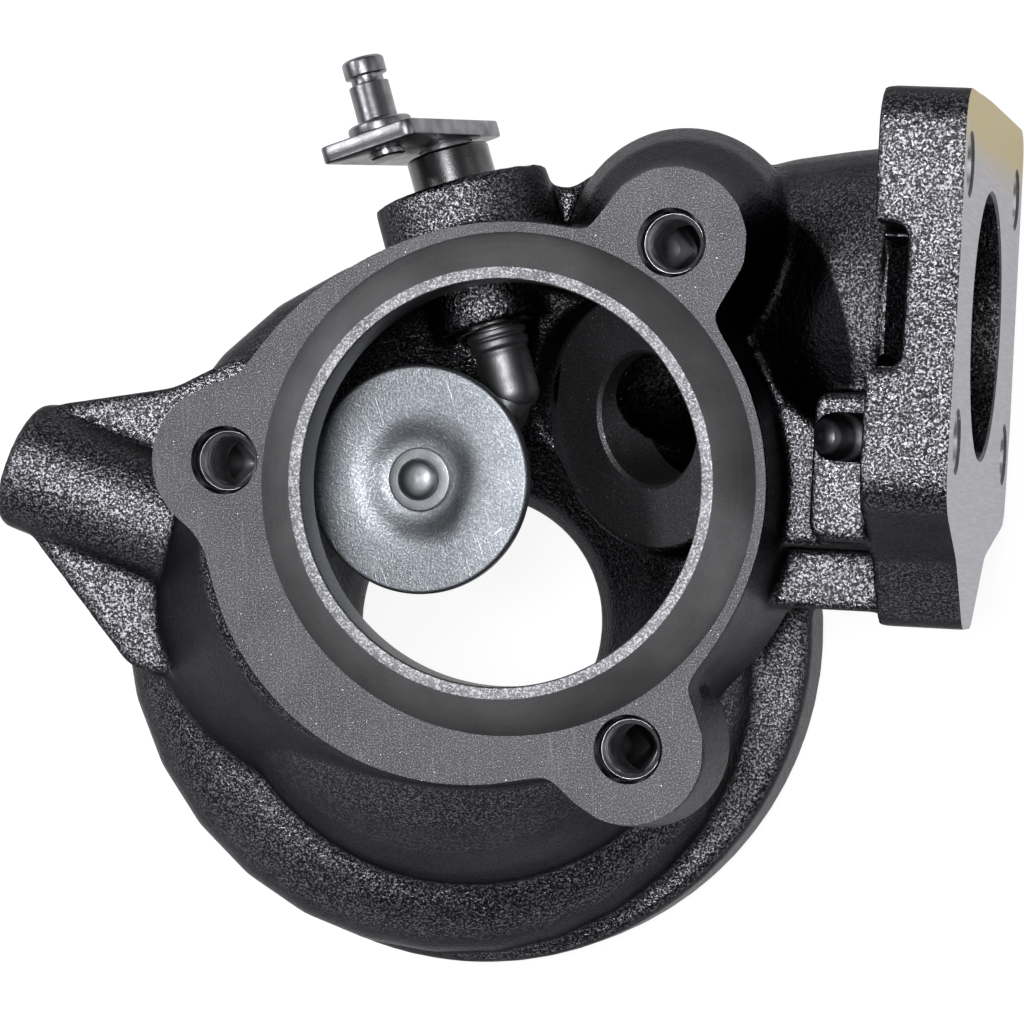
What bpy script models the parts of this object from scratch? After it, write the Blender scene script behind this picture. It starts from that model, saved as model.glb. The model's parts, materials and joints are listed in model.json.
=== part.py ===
"""Turbine housing of a small turbocharger: one iron casting with an internal wastegate.

The part stands on its rear flange with the outlet up. +Z is the turbine axis, +X points out of the
inlet flange, and +Y points to the side where the wastegate crank sits. All lengths are in metres.
Shapes are first placed from the turbine axis, and the whole part is then moved so that its origin is
the middle of its footprint.
"""

import math

import bmesh
import bpy
import numpy as np
from mathutils import Matrix, Vector

MM = 0.001

# Rear flange, where the bearing housing bolts on
REAR_RADIUS = 48.7 * MM
REAR_DEPTH = 15.0 * MM
REAR_SHIFT_X = -1.3 * MM
REAR_SHIFT_Y = -0.1 * MM
REAR_EDGE = 1.6 * MM
SPIGOT_RADIUS = 33.0 * MM
SPIGOT_DEPTH = 4.0 * MM
SHIELD_RADIUS = 27.5 * MM

# Turbine wheel space, from the nozzle gap to the throat
WHEEL_SHIFT_Y = 1.1 * MM
NOZZLE_FLOOR = 7.0 * MM
NOZZLE_WIDTH = 5.5 * MM
WHEEL_INLET_RADIUS = 22.8 * MM
THROAT_RADIUS = 18.0 * MM
THROAT_START = 17.5 * MM
THROAT_TOP = 22.0 * MM

# Volute passage, large where the inlet joins it and small at the tongue
PASSAGE_LARGE = 14.0 * MM
PASSAGE_SMALL = 5.2 * MM
PASSAGE_INSIDE_LARGE = 24.0 * MM
PASSAGE_INSIDE_SMALL = 25.0 * MM
CAST_WALL = 4.3 * MM
SCROLL_START_DEG = 90.0
SCROLL_END_DEG = 368.0
SCROLL_EASE = 1.45

# Inlet flange and the port in it
INLET_FACE_X = 73.0 * MM
INLET_PLATE = 11.6 * MM
INLET_PLATE_THIN = 7.2 * MM
INLET_HIGH_Y = 76.2 * MM
INLET_CENTRE_Y = 45.7 * MM
INLET_CENTRE_Z = 39.5 * MM
INLET_PORT_RADIUS = 18.3 * MM
INLET_WALL = 7.0 * MM
DUCT_RISE_START = 14.0 * MM
DUCT_TURN_END = 45.0 * MM
INLET_HOLE_PITCH_Y = 36.8 * MM
INLET_HOLE_PITCH_Z = 60.6 * MM
INLET_HOLES_Y = 47.3 * MM
INLET_HOLES_Z = 38.4 * MM
INLET_DRILL_END_X = 54.6 * MM

# Outlet flange
OUTLET_X = 12.0 * MM
OUTLET_Y = 20.5 * MM
OUTLET_FACE_Z = 66.0 * MM
OUTLET_BORE_RADIUS = 27.4 * MM
OUTLET_BORE_DEPTH = 3.0 * MM
OUTLET_LIP_HEIGHT = 5.0 * MM
OUTLET_LIP_RADIUS = 29.1 * MM
OUTLET_CONE_RADIUS = 34.1 * MM
OUTLET_RIM_RADIUS = 35.6 * MM
OUTLET_WIDE_RADIUS = 36.9 * MM
OUTLET_WIDE_SHIFT = 6.8 * MM
OUTLET_WIDE_DEG = -141.0
OUTLET_PLATE = 10.0 * MM
EAR_CIRCLE_RADIUS = 39.5 * MM
EAR_RADIUS = 10.5 * MM
EAR_DEGS = (58.0, 178.0, 298.0)
EAR_BLEND = 5.0 * MM

# Tapped holes, drilled to the core size of an M8 thread
TAP_RADIUS = 3.4 * MM
TAP_MOUTH_RADIUS = 4.2 * MM
OUTLET_TAP_DEPTH = 16.0 * MM
DRILL_POINT_DEG = 118.0

# Turbine neck, the domed body between the rear flange and the outlet
NECK_RADIUS = 36.3 * MM
NECK_SHOULDER_Z = 30.0 * MM

# Outlet chamber, which flares towards the scroll on its lower left side
CHAMBER_BASE_Z = 26.0 * MM
CHAMBER_FLARE = 22.0 * MM
CHAMBER_FLARE_DEG = -152.0
CHAMBER_FLARE_SPAN_DEG = 60.0
CHAMBER_INNER_RADIUS = 32.6 * MM

# Stub boss on the left and the web that stiffens it
STUB_RADIUS = 9.5 * MM
STUB_END = (-66.3 * MM, 20.8 * MM, 33.0 * MM)
STUB_TURN_DEG = -18.0
STUB_LENGTH = 36.0 * MM
STUB_WEB = 7.0 * MM

# Wastegate hinge: where its axis passes the inner boss, and how it leans in the XY plane
HINGE_X = 5.4 * MM
HINGE_Y = 40.5 * MM
HINGE_Z = 44.0 * MM
HINGE_LEAN_DEG = 18.4
SHAFT_RADIUS = 3.6 * MM
SHAFT_CLEARANCE = 0.3 * MM
BUSH_RADIUS = 5.85 * MM
BUSH_OUT = 27.7 * MM
BUSH_IN = -1.8 * MM
FIT_GAP = 0.25 * MM
BOSS_RADIUS = 12.4 * MM
BOSS_OUT = 22.2 * MM
INNER_BOSS_RADIUS = 8.2 * MM
INNER_BOSS_END = -2.2 * MM

# Valve: reach and drop of the arm from the hinge axis to the middle of the sealing face
ARM_REACH = 13.4 * MM
ARM_DROP = 10.4 * MM
ARM_ALONG = 16.1 * MM
ARM_BARREL_RADIUS = 3.85 * MM
ARM_COLLAR_RADIUS = 4.2 * MM
ARM_POCKET_RADIUS = 5.4 * MM
ARM_EYE_RADIUS = 5.3 * MM
SEAT_TILT_DEG = 36.0
OPEN_DEG = 150.0
VALVE_RADIUS = 15.9 * MM
VALVE_THICKNESS = 2.6 * MM
VALVE_EDGE = 0.7 * MM
RECESS_RADIUS = 7.9 * MM
RECESS_DEPTH = 1.7 * MM
RUNNING_GAP = 0.25 * MM
STUD_RADIUS = 2.3 * MM
RIVET_RADIUS = 2.95 * MM
WASHER_RADIUS = 4.45 * MM
WASHER_THICKNESS = 0.8 * MM
SEAT_GAP = 0.4 * MM
SEAT_RADIUS = 17.6 * MM
PORT_RADIUS = 9.3 * MM
PORT_LENGTH = 19.0 * MM

# Crank: a plate welded to the outer end of the shaft, with a grooved pin for the actuator rod
CRANK_GAP = 0.8 * MM
CRANK_THICKNESS = 2.3 * MM
CRANK_LENGTH = 28.4 * MM
CRANK_WIDTH = 14.7 * MM
CRANK_CORNER = 1.8 * MM
CRANK_TURN_DEG = -74.7
CRANK_SHAFT_ALONG = 20.6 * MM
CRANK_SHAFT_ACROSS = 5.6 * MM
CRANK_PIN_ALONG = 6.3 * MM
CRANK_PIN_ACROSS = 7.6 * MM
PIN_RADIUS = 2.8 * MM
PIN_HEAD_RADIUS = 2.95 * MM
PIN_GROOVE_RADIUS = 2.25 * MM
PIN_COLLAR_RADIUS = 4.45 * MM
PIN_COLLAR = 1.5 * MM
PIN_BODY_TOP = 6.9 * MM
PIN_GROOVE_TOP = 8.1 * MM
PIN_TOP = 10.6 * MM
PIN_TAIL_RADIUS = 2.0 * MM
PIN_TAIL_HEAD = 0.8 * MM

# Facets round a circle, in multiples of 24 on what turns
FINE = 72
MEDIUM = 48
COARSE = 24
CAST = 36


def clear_scene():
    for item in list(bpy.data.objects):
        bpy.data.objects.remove(item, do_unlink=True)


def finish(name, colour, metallic, roughness):
    """A Principled material in the part's own colour."""
    made = bpy.data.materials.new(name)
    made.use_nodes = True
    shader = made.node_tree.nodes["Principled BSDF"]
    shader.inputs["Base Color"].default_value = (*colour, 1.0)
    shader.inputs["Metallic"].default_value = metallic
    shader.inputs["Roughness"].default_value = roughness
    return made


def group(name):
    made = bpy.data.collections.new(name)
    bpy.context.scene.collection.children.link(made)
    return made


def empty(name, parent, matrix):
    made = bpy.data.objects.new(name, None)
    bpy.context.scene.collection.objects.link(made)
    made.parent = parent
    made.matrix_basis = matrix
    return made


def add(name, bm, parent, matrix=None, home=None, material=None):
    """Turns a bmesh into an object with its faces outwards, in a collection of its own or in the scene."""
    bmesh.ops.recalc_face_normals(bm, faces=bm.faces)
    mesh = bpy.data.meshes.new(name)
    bm.to_mesh(mesh)
    bm.free()
    mesh.shade_smooth()
    mesh.set_sharp_from_angle(angle=math.radians(32))
    made = bpy.data.objects.new(name, mesh)
    (home or bpy.context.scene.collection).objects.link(made)
    made.parent = parent
    made.matrix_basis = matrix or Matrix()
    if material:
        mesh.materials.append(material)
    if home:
        made.hide_render = True
        made.display_type = "WIRE"
    return made


def skinned(rings, joined=False):
    """A closed skin over rings of points, (rings, points, 3). Its ends are capped, or joined to each other."""
    bm = bmesh.new()
    rows = [[bm.verts.new(point) for point in ring] for ring in np.asarray(rings).tolist()]
    pairs = list(zip(rows, rows[1:]))
    if joined:
        pairs.append((rows[-1], rows[0]))
    else:
        bm.faces.new(rows[0])
        bm.faces.new(rows[-1][::-1])
    for low, high in pairs:
        for i in range(len(low)):
            j = (i + 1) % len(low)
            bm.faces.new((low[i], low[j], high[j], high[i]))
    bmesh.ops.remove_doubles(bm, verts=bm.verts, dist=1e-7)
    return bm


def turned(profile, steps, joined=False):
    """A profile of (radius, height) pairs spun round Z, solid to the axis or joined into a ring."""
    angle = np.linspace(0.0, math.tau, steps, endpoint=False)
    rings = [
        np.stack([r * np.cos(angle), r * np.sin(angle), np.full(steps, z)], axis=1)
        for r, z in profile
    ]
    return skinned(rings, joined)


def rounded(corners, steps):
    """An outline from (x, y, corner radius) triples, each corner turned into an arc."""
    outline = []
    for i, (x, y, radius) in enumerate(corners):
        corner = Vector((x, y))
        before = (Vector(corners[i - 1][:2]) - corner).normalized()
        after = (Vector(corners[(i + 1) % len(corners)][:2]) - corner).normalized()
        half = 0.5 * before.angle(after)
        back = radius / math.tan(half)
        middle = corner + (before + after).normalized() * (radius / math.sin(half))
        start = corner + before * back - middle
        end = corner + after * back - middle
        sweep = start.angle_signed(end)
        for k in range(steps + 1):
            turn = -sweep * k / steps
            cos, sin = math.cos(turn), math.sin(turn)
            outline.append(
                (middle.x + start.x * cos - start.y * sin, middle.y + start.x * sin + start.y * cos)
            )
    return outline


def prism(outline, low, high):
    """A straight prism over an outline of (x, y) pairs, from one height to another."""
    rings = [[(x, y, z) for x, y in outline] for z in (low, high)]
    return skinned(rings)


def circle_ring(centre, across, up, radius, count):
    """A circle of points about a centre, in the plane of two unit vectors."""
    angle = np.linspace(0.0, math.tau, count, endpoint=False)[:, None]
    return np.asarray(centre) + radius * (
        np.cos(angle) * np.asarray(across) + np.sin(angle) * np.asarray(up)
    )


def smooth(t):
    """Eases from 0 to 1."""
    t = np.clip(t, 0.0, 1.0)
    return t * t * (3.0 - 2.0 * t)


def frame(origin, x_axis, y_axis):
    """A matrix with its origin and two of its axes given."""
    x = Vector(x_axis).normalized()
    z = x.cross(Vector(y_axis)).normalized()
    y = z.cross(x)
    matrix = Matrix((x, y, z)).transposed().to_4x4()
    matrix.translation = Vector(origin)
    return matrix


def moved(x, y, z=0.0):
    return Matrix.Translation((x, y, z))


# Scroll and inlet duct


def scroll_section(degrees, wall):
    """Centre radius, centre height and section radius of the passage, or of its outside, at an angle."""
    share = (degrees - SCROLL_START_DEG) / (360.0 - SCROLL_START_DEG)
    radius = PASSAGE_LARGE + (PASSAGE_SMALL - PASSAGE_LARGE) * share**SCROLL_EASE
    inside = PASSAGE_INSIDE_LARGE + (PASSAGE_INSIDE_SMALL - PASSAGE_INSIDE_LARGE) * share
    return inside + radius, NOZZLE_FLOOR + radius, radius + wall


def scroll_rings(wall, end_deg, steps, count):
    """Circles in planes through the turbine axis, from the tongue round to the top."""
    rings = []
    for degrees in np.linspace(end_deg, SCROLL_START_DEG, steps):
        angle = math.radians(degrees)
        out = (math.cos(angle), math.sin(angle), 0.0)
        middle, height, radius = scroll_section(degrees, wall)
        centre = (middle * out[0], middle * out[1], height)
        rings.append(circle_ring(centre, out, (0.0, 0.0, 1.0), radius, count))
    return rings


def duct_rings(wall, end_wall, end_x, steps, count):
    """Circles across X that carry the scroll on to the inlet port, easing to its size and place."""
    middle, height, radius = scroll_section(SCROLL_START_DEG, wall)
    rings = []
    for x in np.linspace(0.0, end_x, steps + 1)[1:]:
        share = float(smooth(x / INLET_FACE_X))
        turn = float(smooth(x / DUCT_TURN_END))
        rise = float(smooth((x - DUCT_RISE_START) / (INLET_FACE_X - DUCT_RISE_START)))
        centre = (
            x,
            middle + (INLET_CENTRE_Y - middle) * turn,
            height + (INLET_CENTRE_Z - height) * rise,
        )
        size = radius + (INLET_PORT_RADIUS + end_wall - radius) * share
        rings.append(circle_ring(centre, (0.0, 1.0, 0.0), (0.0, 0.0, 1.0), size, count))
    return rings


# Outlet flange


def outline_distance(points, grow):
    """How far points lie outside the flange outline: its discs and ears joined with soft corners."""
    wide = math.radians(OUTLET_WIDE_DEG)
    discs = [
        (0.0, 0.0, OUTLET_RIM_RADIUS),
        (OUTLET_WIDE_SHIFT * math.cos(wide), OUTLET_WIDE_SHIFT * math.sin(wide), OUTLET_WIDE_RADIUS),
    ]
    for degrees in EAR_DEGS:
        angle = math.radians(degrees)
        ear = (EAR_CIRCLE_RADIUS * math.cos(angle), EAR_CIRCLE_RADIUS * math.sin(angle), EAR_RADIUS)
        discs.append(ear)
    total = 0.0
    for x, y, radius in discs:
        gap = np.hypot(points[:, 0] - x, points[:, 1] - y) - radius - grow
        total = total + np.exp(-gap * 4.0 / EAR_BLEND)
    return -np.log(total) * EAR_BLEND / 4.0


def flange_outline(grow, count):
    """Where rays from the outlet's middle leave the outline, found by halving."""
    angle = np.linspace(0.0, math.tau, count, endpoint=False)
    rays = np.stack([np.cos(angle), np.sin(angle)], axis=1)
    low = np.full(count, OUTLET_BORE_RADIUS)
    high = np.full(count, EAR_CIRCLE_RADIUS + 2.0 * EAR_RADIUS)
    for _ in range(30):
        middle = 0.5 * (low + high)
        inside = outline_distance(rays * middle[:, None], grow) < 0.0
        low = np.where(inside, middle, low)
        high = np.where(inside, high, middle)
    return rays * low[:, None]


def flange_rings(levels, count):
    """Copies of the outline, each at its own height and grown by its own amount."""
    rings = []
    for height, grow in levels:
        flat = flange_outline(grow, count)
        level = np.full((count, 1), height)
        rings.append(np.hstack([flat + (OUTLET_X, OUTLET_Y), level]))
    return rings


def ear_place(degrees):
    angle = math.radians(degrees)
    return (
        OUTLET_X + EAR_CIRCLE_RADIUS * math.cos(angle),
        OUTLET_Y + EAR_CIRCLE_RADIUS * math.sin(angle),
    )


def upright_loft(levels, count):
    """Round sections about upright axes: (x, y, height, radius) for each."""
    x_axis, y_axis = (1.0, 0.0, 0.0), (0.0, 1.0, 0.0)
    return skinned([circle_ring((x, y, z), x_axis, y_axis, r, count) for x, y, z, r in levels])


# Outlet chamber


def chamber_rings(heights, count):
    """The chamber's outside: the flange's round part, flared at the lower left as it goes down."""
    angle = np.linspace(0.0, math.tau, count, endpoint=False)
    wide = math.radians(OUTLET_WIDE_DEG)
    turn = np.degrees(angle) - CHAMBER_FLARE_DEG
    turn = (turn + 180.0) % 360.0 - 180.0
    bump = np.cos(np.radians(np.clip(turn * 90.0 / CHAMBER_FLARE_SPAN_DEG, -90.0, 90.0))) ** 2
    swing = OUTLET_WIDE_SHIFT * np.sin(angle - wide)
    wider = OUTLET_WIDE_SHIFT * np.cos(angle - wide) + np.sqrt(OUTLET_WIDE_RADIUS**2 - swing**2)
    top = np.maximum(OUTLET_RIM_RADIUS, wider)
    span = OUTLET_FACE_Z - CHAMBER_BASE_Z
    rings = []
    for height in heights:
        share = (OUTLET_FACE_Z - height) / span
        radius = top + CHAMBER_FLARE * bump * share + 1.5 * MM * share
        ring = np.stack(
            [
                OUTLET_X + radius * np.cos(angle),
                OUTLET_Y + radius * np.sin(angle),
                np.full(count, height),
            ],
            axis=1,
        )
        rings.append(ring)
    return rings


# Wastegate, worked out in the hinge's own frame: x across, y up towards the outlet, z inwards


def hinge_matrix():
    lean = math.radians(HINGE_LEAN_DEG)
    across = (math.cos(lean), math.sin(lean), 0.0)
    return frame((HINGE_X, HINGE_Y, HINGE_Z), across, (0.0, 0.0, 1.0))


def valve_matrix(open_deg, out=0.0):
    """The middle of the sealing face, with z out of that face, for an opening angle."""
    angle = math.radians(SEAT_TILT_DEG + open_deg)
    along = Vector((math.cos(angle), math.sin(angle), 0.0))
    normal = Vector((math.sin(angle), -math.cos(angle), 0.0))
    origin = along * ARM_REACH + normal * (ARM_DROP + out)
    origin.z = ARM_ALONG
    return frame(origin, along, normal.cross(along))


def crank_matrix(x, y, out):
    """A point on the crank plate, from its near corner, with z pointing outwards along the shaft."""
    angle = math.radians(CRANK_TURN_DEG)
    along = Vector((math.cos(angle), math.sin(angle), 0.0))
    across = Vector((along.y, -along.x, 0.0))
    origin = along * (x - CRANK_SHAFT_ALONG) + across * (y - CRANK_SHAFT_ACROSS)
    origin.z = -out
    return frame(origin, along, across)


def drilled(depth, over):
    """A blind hole along -z from its mouth at z = 0, with a countersink and a drill point."""
    point = TAP_RADIUS / math.tan(math.radians(DRILL_POINT_DEG / 2.0))
    sink = TAP_MOUTH_RADIUS - TAP_RADIUS
    return turned(
        [
            (0.0, -depth - point),
            (TAP_RADIUS, -depth),
            (TAP_RADIUS, -sink),
            (TAP_MOUTH_RADIUS, 0.0),
            (TAP_MOUTH_RADIUS, over),
        ],
        COARSE,
    )


def rod(radius, low, high, steps):
    return turned([(radius, low), (radius, high)], steps)


def rear_flange():
    inner = REAR_RADIUS - REAR_EDGE
    profile = [
        (REAR_RADIUS - 0.5 * REAR_EDGE, 0.0),
        (REAR_RADIUS, 0.5 * REAR_EDGE),
        (REAR_RADIUS, REAR_DEPTH - REAR_EDGE),
        (REAR_RADIUS - 0.3 * REAR_EDGE, REAR_DEPTH - 0.3 * REAR_EDGE),
        (inner, REAR_DEPTH),
    ]
    return turned(profile, FINE)


def neck():
    """The domed body over the turbine wheel, from the rear flange up under the outlet."""
    profile = [
        (NECK_RADIUS, 5.0 * MM),
        (NECK_RADIUS, NECK_SHOULDER_Z),
        (36.0 * MM, 32.5 * MM),
        (34.5 * MM, 38.0 * MM),
        (31.5 * MM, 44.0 * MM),
        (27.5 * MM, 50.0 * MM),
        (22.0 * MM, 56.0 * MM),
    ]
    return turned(profile, MEDIUM)


def scroll_and_duct(wall, end_wall, end_x, end_deg, count):
    rings = scroll_rings(wall, end_deg, 25, count)
    rings += duct_rings(wall, end_wall, end_x, 8, count)
    return skinned(rings)


def inlet_plate():
    """The inlet flange, as an outline in (y, z) pushed through from its back to its face."""
    corners = [
        (INLET_HIGH_Y, 0.4 * MM, 4.5 * MM),
        (INLET_HIGH_Y, 45.0 * MM, 60.0 * MM),
        (INLET_HIGH_Y - 0.6 * MM, 76.4 * MM, 6.0 * MM),
        (55.0 * MM, 75.2 * MM, 60.0 * MM),
        (20.5 * MM, 78.8 * MM, 7.0 * MM),
        (13.0 * MM, 62.0 * MM, 12.0 * MM),
        (3.8 * MM, 51.0 * MM, 6.0 * MM),
        (4.0 * MM, 40.5 * MM, 5.0 * MM),
        (14.0 * MM, 26.5 * MM, 9.0 * MM),
        (19.0 * MM, 2.4 * MM, 4.0 * MM),
        (33.0 * MM, 0.4 * MM, 12.0 * MM),
    ]
    back = INLET_FACE_X - INLET_PLATE
    return prism(rounded(corners, 6), back, INLET_FACE_X)


def block(corners, low, high):
    """An upright block over an outline of (x, y) pairs."""
    return prism(rounded([(x * MM, y * MM, r * MM) for x, y, r in corners], 4), low, high)


def seat_matrix():
    """The valve seat, with z out of its face towards the valve."""
    closed = valve_matrix(0.0, SEAT_GAP)
    return closed @ Matrix.Rotation(math.pi, 4, "X")


def chamber_hollow():
    """The space that the exhaust leaves through, from the throat up to the outlet bore."""
    bore, throat = OUTLET_BORE_RADIUS / MM, THROAT_RADIUS / MM
    wheel_y = WHEEL_SHIFT_Y / MM
    levels = [
        (0.0, wheel_y, 20.8, throat - 0.5, throat - 0.5),
        (0.0, wheel_y, 22.0, throat + 0.05, throat + 0.05),
        (1.0, 1.6, 27.0, 19.6, 19.2),
        (3.6, 7.0, 34.0, 23.0, 20.2),
        (6.5, 14.2, 40.0, 27.0, 23.6),
        (9.6, 20.3, 46.0, 31.2, 27.8),
        (11.0, 21.4, 52.0, 32.2, 28.9),
        (12.0, 21.4, 58.0, 32.2, 28.9),
        (12.0, 20.5, 63.0, bore + 0.2, bore + 0.2),
        (12.0, 20.5, 63.6, bore - 0.8, bore - 0.8),
    ]
    rings = []
    for x, y, z, wide, deep in levels:
        ring = circle_ring((0.0, 0.0, 0.0), (wide, 0.0, 0.0), (0.0, deep, 0.0), 1.0, MEDIUM)
        rings.append((ring + (x, y, z)) * MM)
    return skinned(rings)


def wheel_space():
    """The bore for the bearing housing, the nozzle gap and the contour that the wheel runs in."""
    profile = [
        (SPIGOT_RADIUS, -1.0 * MM),
        (SPIGOT_RADIUS, SPIGOT_DEPTH),
        (SHIELD_RADIUS, SPIGOT_DEPTH),
        (SHIELD_RADIUS, NOZZLE_FLOOR),
        (SPIGOT_RADIUS, NOZZLE_FLOOR),
        (SPIGOT_RADIUS, NOZZLE_FLOOR + NOZZLE_WIDTH),
        (WHEEL_INLET_RADIUS, NOZZLE_FLOOR + NOZZLE_WIDTH),
        (WHEEL_INLET_RADIUS - 1.6 * MM, NOZZLE_FLOOR + NOZZLE_WIDTH + 0.7 * MM),
        (WHEEL_INLET_RADIUS - 3.2 * MM, NOZZLE_FLOOR + NOZZLE_WIDTH + 2.2 * MM),
        (THROAT_RADIUS, THROAT_START),
        (THROAT_RADIUS, THROAT_TOP),
    ]
    return turned(profile, FINE)


def outlet_lip():
    """The raised lip and the cone round it that the exhaust pipe's gasket sits on."""
    profile = [
        (OUTLET_CONE_RADIUS, OUTLET_FACE_Z - 2.0 * MM),
        (OUTLET_CONE_RADIUS, OUTLET_FACE_Z),
        (OUTLET_LIP_RADIUS, OUTLET_FACE_Z + OUTLET_LIP_HEIGHT),
    ]
    return turned(profile, FINE)


def casting(masses, hollows, axis, hinge, iron):
    """All the solid shapes of the casting as one, then its hollows and machined holes taken out."""
    at_outlet = moved(OUTLET_X, OUTLET_Y)
    body = add("turbine_housing", rear_flange(), axis, moved(REAR_SHIFT_X, REAR_SHIFT_Y), None, iron)

    outer_end = INLET_FACE_X - 2.0 * MM
    scroll = scroll_and_duct(CAST_WALL, INLET_WALL, outer_end, SCROLL_END_DEG, CAST)
    add("scroll_mass", scroll, axis, None, masses)
    add("neck_mass", neck(), axis, None, masses)
    add("chamber_mass", chamber(), axis, None, masses)
    add("flange_mass", outlet_flange(), axis, None, masses)
    add("lip_mass", outlet_lip(), axis, at_outlet, masses)
    for number, bottom in enumerate(ear_bosses(), start=1):
        add(f"ear_mass_{number}", bottom, axis, None, masses)
    plate = Matrix(((0.0, 0.0, 1.0), (1.0, 0.0, 0.0), (0.0, 1.0, 0.0))).to_4x4()
    add("inlet_plate_mass", inlet_plate(), axis, plate, masses)
    add_webs(masses, axis)
    hinge_boss = rod(BOSS_RADIUS, -BOSS_OUT, -INNER_BOSS_END, FINE)
    add("hinge_boss_mass", hinge_boss, hinge, moved(0.5 * MM, 0.0), masses)

    chamber_cut = add("chamber_cut", chamber_hollow(), axis, None, hollows)
    standing = group("standing_in_chamber")
    inner = rod(INNER_BOSS_RADIUS, -BOSS_OUT, INNER_BOSS_END, MEDIUM)
    add("inner_boss_mass", inner, hinge, None, standing)
    port_boss = turned([(25.0 * MM, -22.0 * MM), (18.6 * MM, 0.8 * MM)], MEDIUM)
    add("port_boss_mass", port_boss, hinge, seat_matrix(), standing)
    boolean(chamber_cut, "leave bosses", "DIFFERENCE", standing)

    passage = scroll_and_duct(0.0, 0.0, INLET_FACE_X + 1.0 * MM, SCROLL_END_DEG - 6.0, CAST)
    add("passage_cut", passage, axis, None, hollows)
    add("wheel_cut", wheel_space(), axis, moved(0.0, WHEEL_SHIFT_Y), hollows)
    bore_low = OUTLET_FACE_Z - OUTLET_BORE_DEPTH
    bore_high = OUTLET_FACE_Z + OUTLET_LIP_HEIGHT
    outlet_bore = rod(OUTLET_BORE_RADIUS, bore_low, bore_high + 1.0 * MM, FINE)
    add("outlet_bore_cut", outlet_bore, axis, at_outlet, hollows)
    for number, degrees in enumerate(EAR_DEGS, start=1):
        x, y = ear_place(degrees)
        hole = drilled(OUTLET_TAP_DEPTH, 1.0 * MM)
        add(f"outlet_tap_cut_{number}", hole, axis, moved(x, y, OUTLET_FACE_Z), hollows)
    add_inlet_holes(hollows, axis)
    bush_bore = rod(BUSH_RADIUS + FIT_GAP, -BOSS_OUT - 1.0 * MM, INNER_BOSS_END + 1.0 * MM, MEDIUM)
    add("bush_bore_cut", bush_bore, hinge, None, hollows)
    arm_pocket = rod(ARM_POCKET_RADIUS, INNER_BOSS_END, 9.0 * MM, MEDIUM)
    add("arm_pocket_cut", arm_pocket, hinge, None, hollows)
    port = rod(PORT_RADIUS, -PORT_LENGTH, 1.0 * MM, MEDIUM)
    add("port_cut", port, hinge, seat_matrix(), hollows)
    spot_face = rod(SEAT_RADIUS, 0.0, 11.0 * MM, MEDIUM)
    add("seat_cut", spot_face, hinge, seat_matrix(), hollows)

    boolean(body, "join masses", "UNION", masses)
    boolean(body, "take out hollows", "DIFFERENCE", hollows, "MANIFOLD")
    return body


def boolean(target, name, operation, operands, solver="EXACT"):
    modifier = target.modifiers.new(name, "BOOLEAN")
    modifier.operation = operation
    modifier.solver = solver
    modifier.operand_type = "COLLECTION"
    modifier.collection = operands


def chamber():
    heights = np.linspace(CHAMBER_BASE_Z, OUTLET_FACE_Z - 3.0 * MM, 6)
    return skinned(chamber_rings(heights, MEDIUM))


def outlet_flange():
    low = OUTLET_FACE_Z - OUTLET_PLATE
    levels = [
        (low, -1.2 * MM),
        (low + 1.2 * MM, 0.0),
        (OUTLET_FACE_Z - 0.4 * MM, 0.0),
        (OUTLET_FACE_Z, -0.4 * MM),
    ]
    return skinned(flange_rings(levels, 2 * MEDIUM))


def ear_bosses():
    """Material under each ear for its tapped hole. The one beside the inlet leans over the duct."""
    top = OUTLET_FACE_Z - 1.5 * MM
    (ax, ay), (bx, by), (cx, cy) = [ear_place(degrees) for degrees in EAR_DEGS]
    first = [
        (ax - 3.6 * MM, ay + 1.8 * MM, 30.0 * MM, 15.6 * MM),
        (ax - 1.9 * MM, ay + 1.0 * MM, 44.0 * MM, 16.5 * MM),
        (ax - 0.7 * MM, ay + 0.4 * MM, 53.0 * MM, 14.6 * MM),
        (ax, ay, 59.0 * MM, EAR_RADIUS + 1.2 * MM),
        (ax, ay, top, EAR_RADIUS - 0.1 * MM),
    ]
    second = [
        (bx + 2.0 * MM, by, 43.0 * MM, EAR_RADIUS - 1.5 * MM),
        (bx + 0.5 * MM, by, 48.0 * MM, EAR_RADIUS + 0.4 * MM),
        (bx, by, top, EAR_RADIUS - 0.1 * MM),
    ]
    third = [
        (cx - 2.0 * MM, cy + 2.0 * MM, 43.0 * MM, EAR_RADIUS - 1.0 * MM),
        (cx - 0.3 * MM, cy + 0.3 * MM, 49.0 * MM, EAR_RADIUS + 1.1 * MM),
        (cx, cy, top, EAR_RADIUS - 0.1 * MM),
    ]
    return [upright_loft(levels, MEDIUM) for levels in (first, second, third)]


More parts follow.
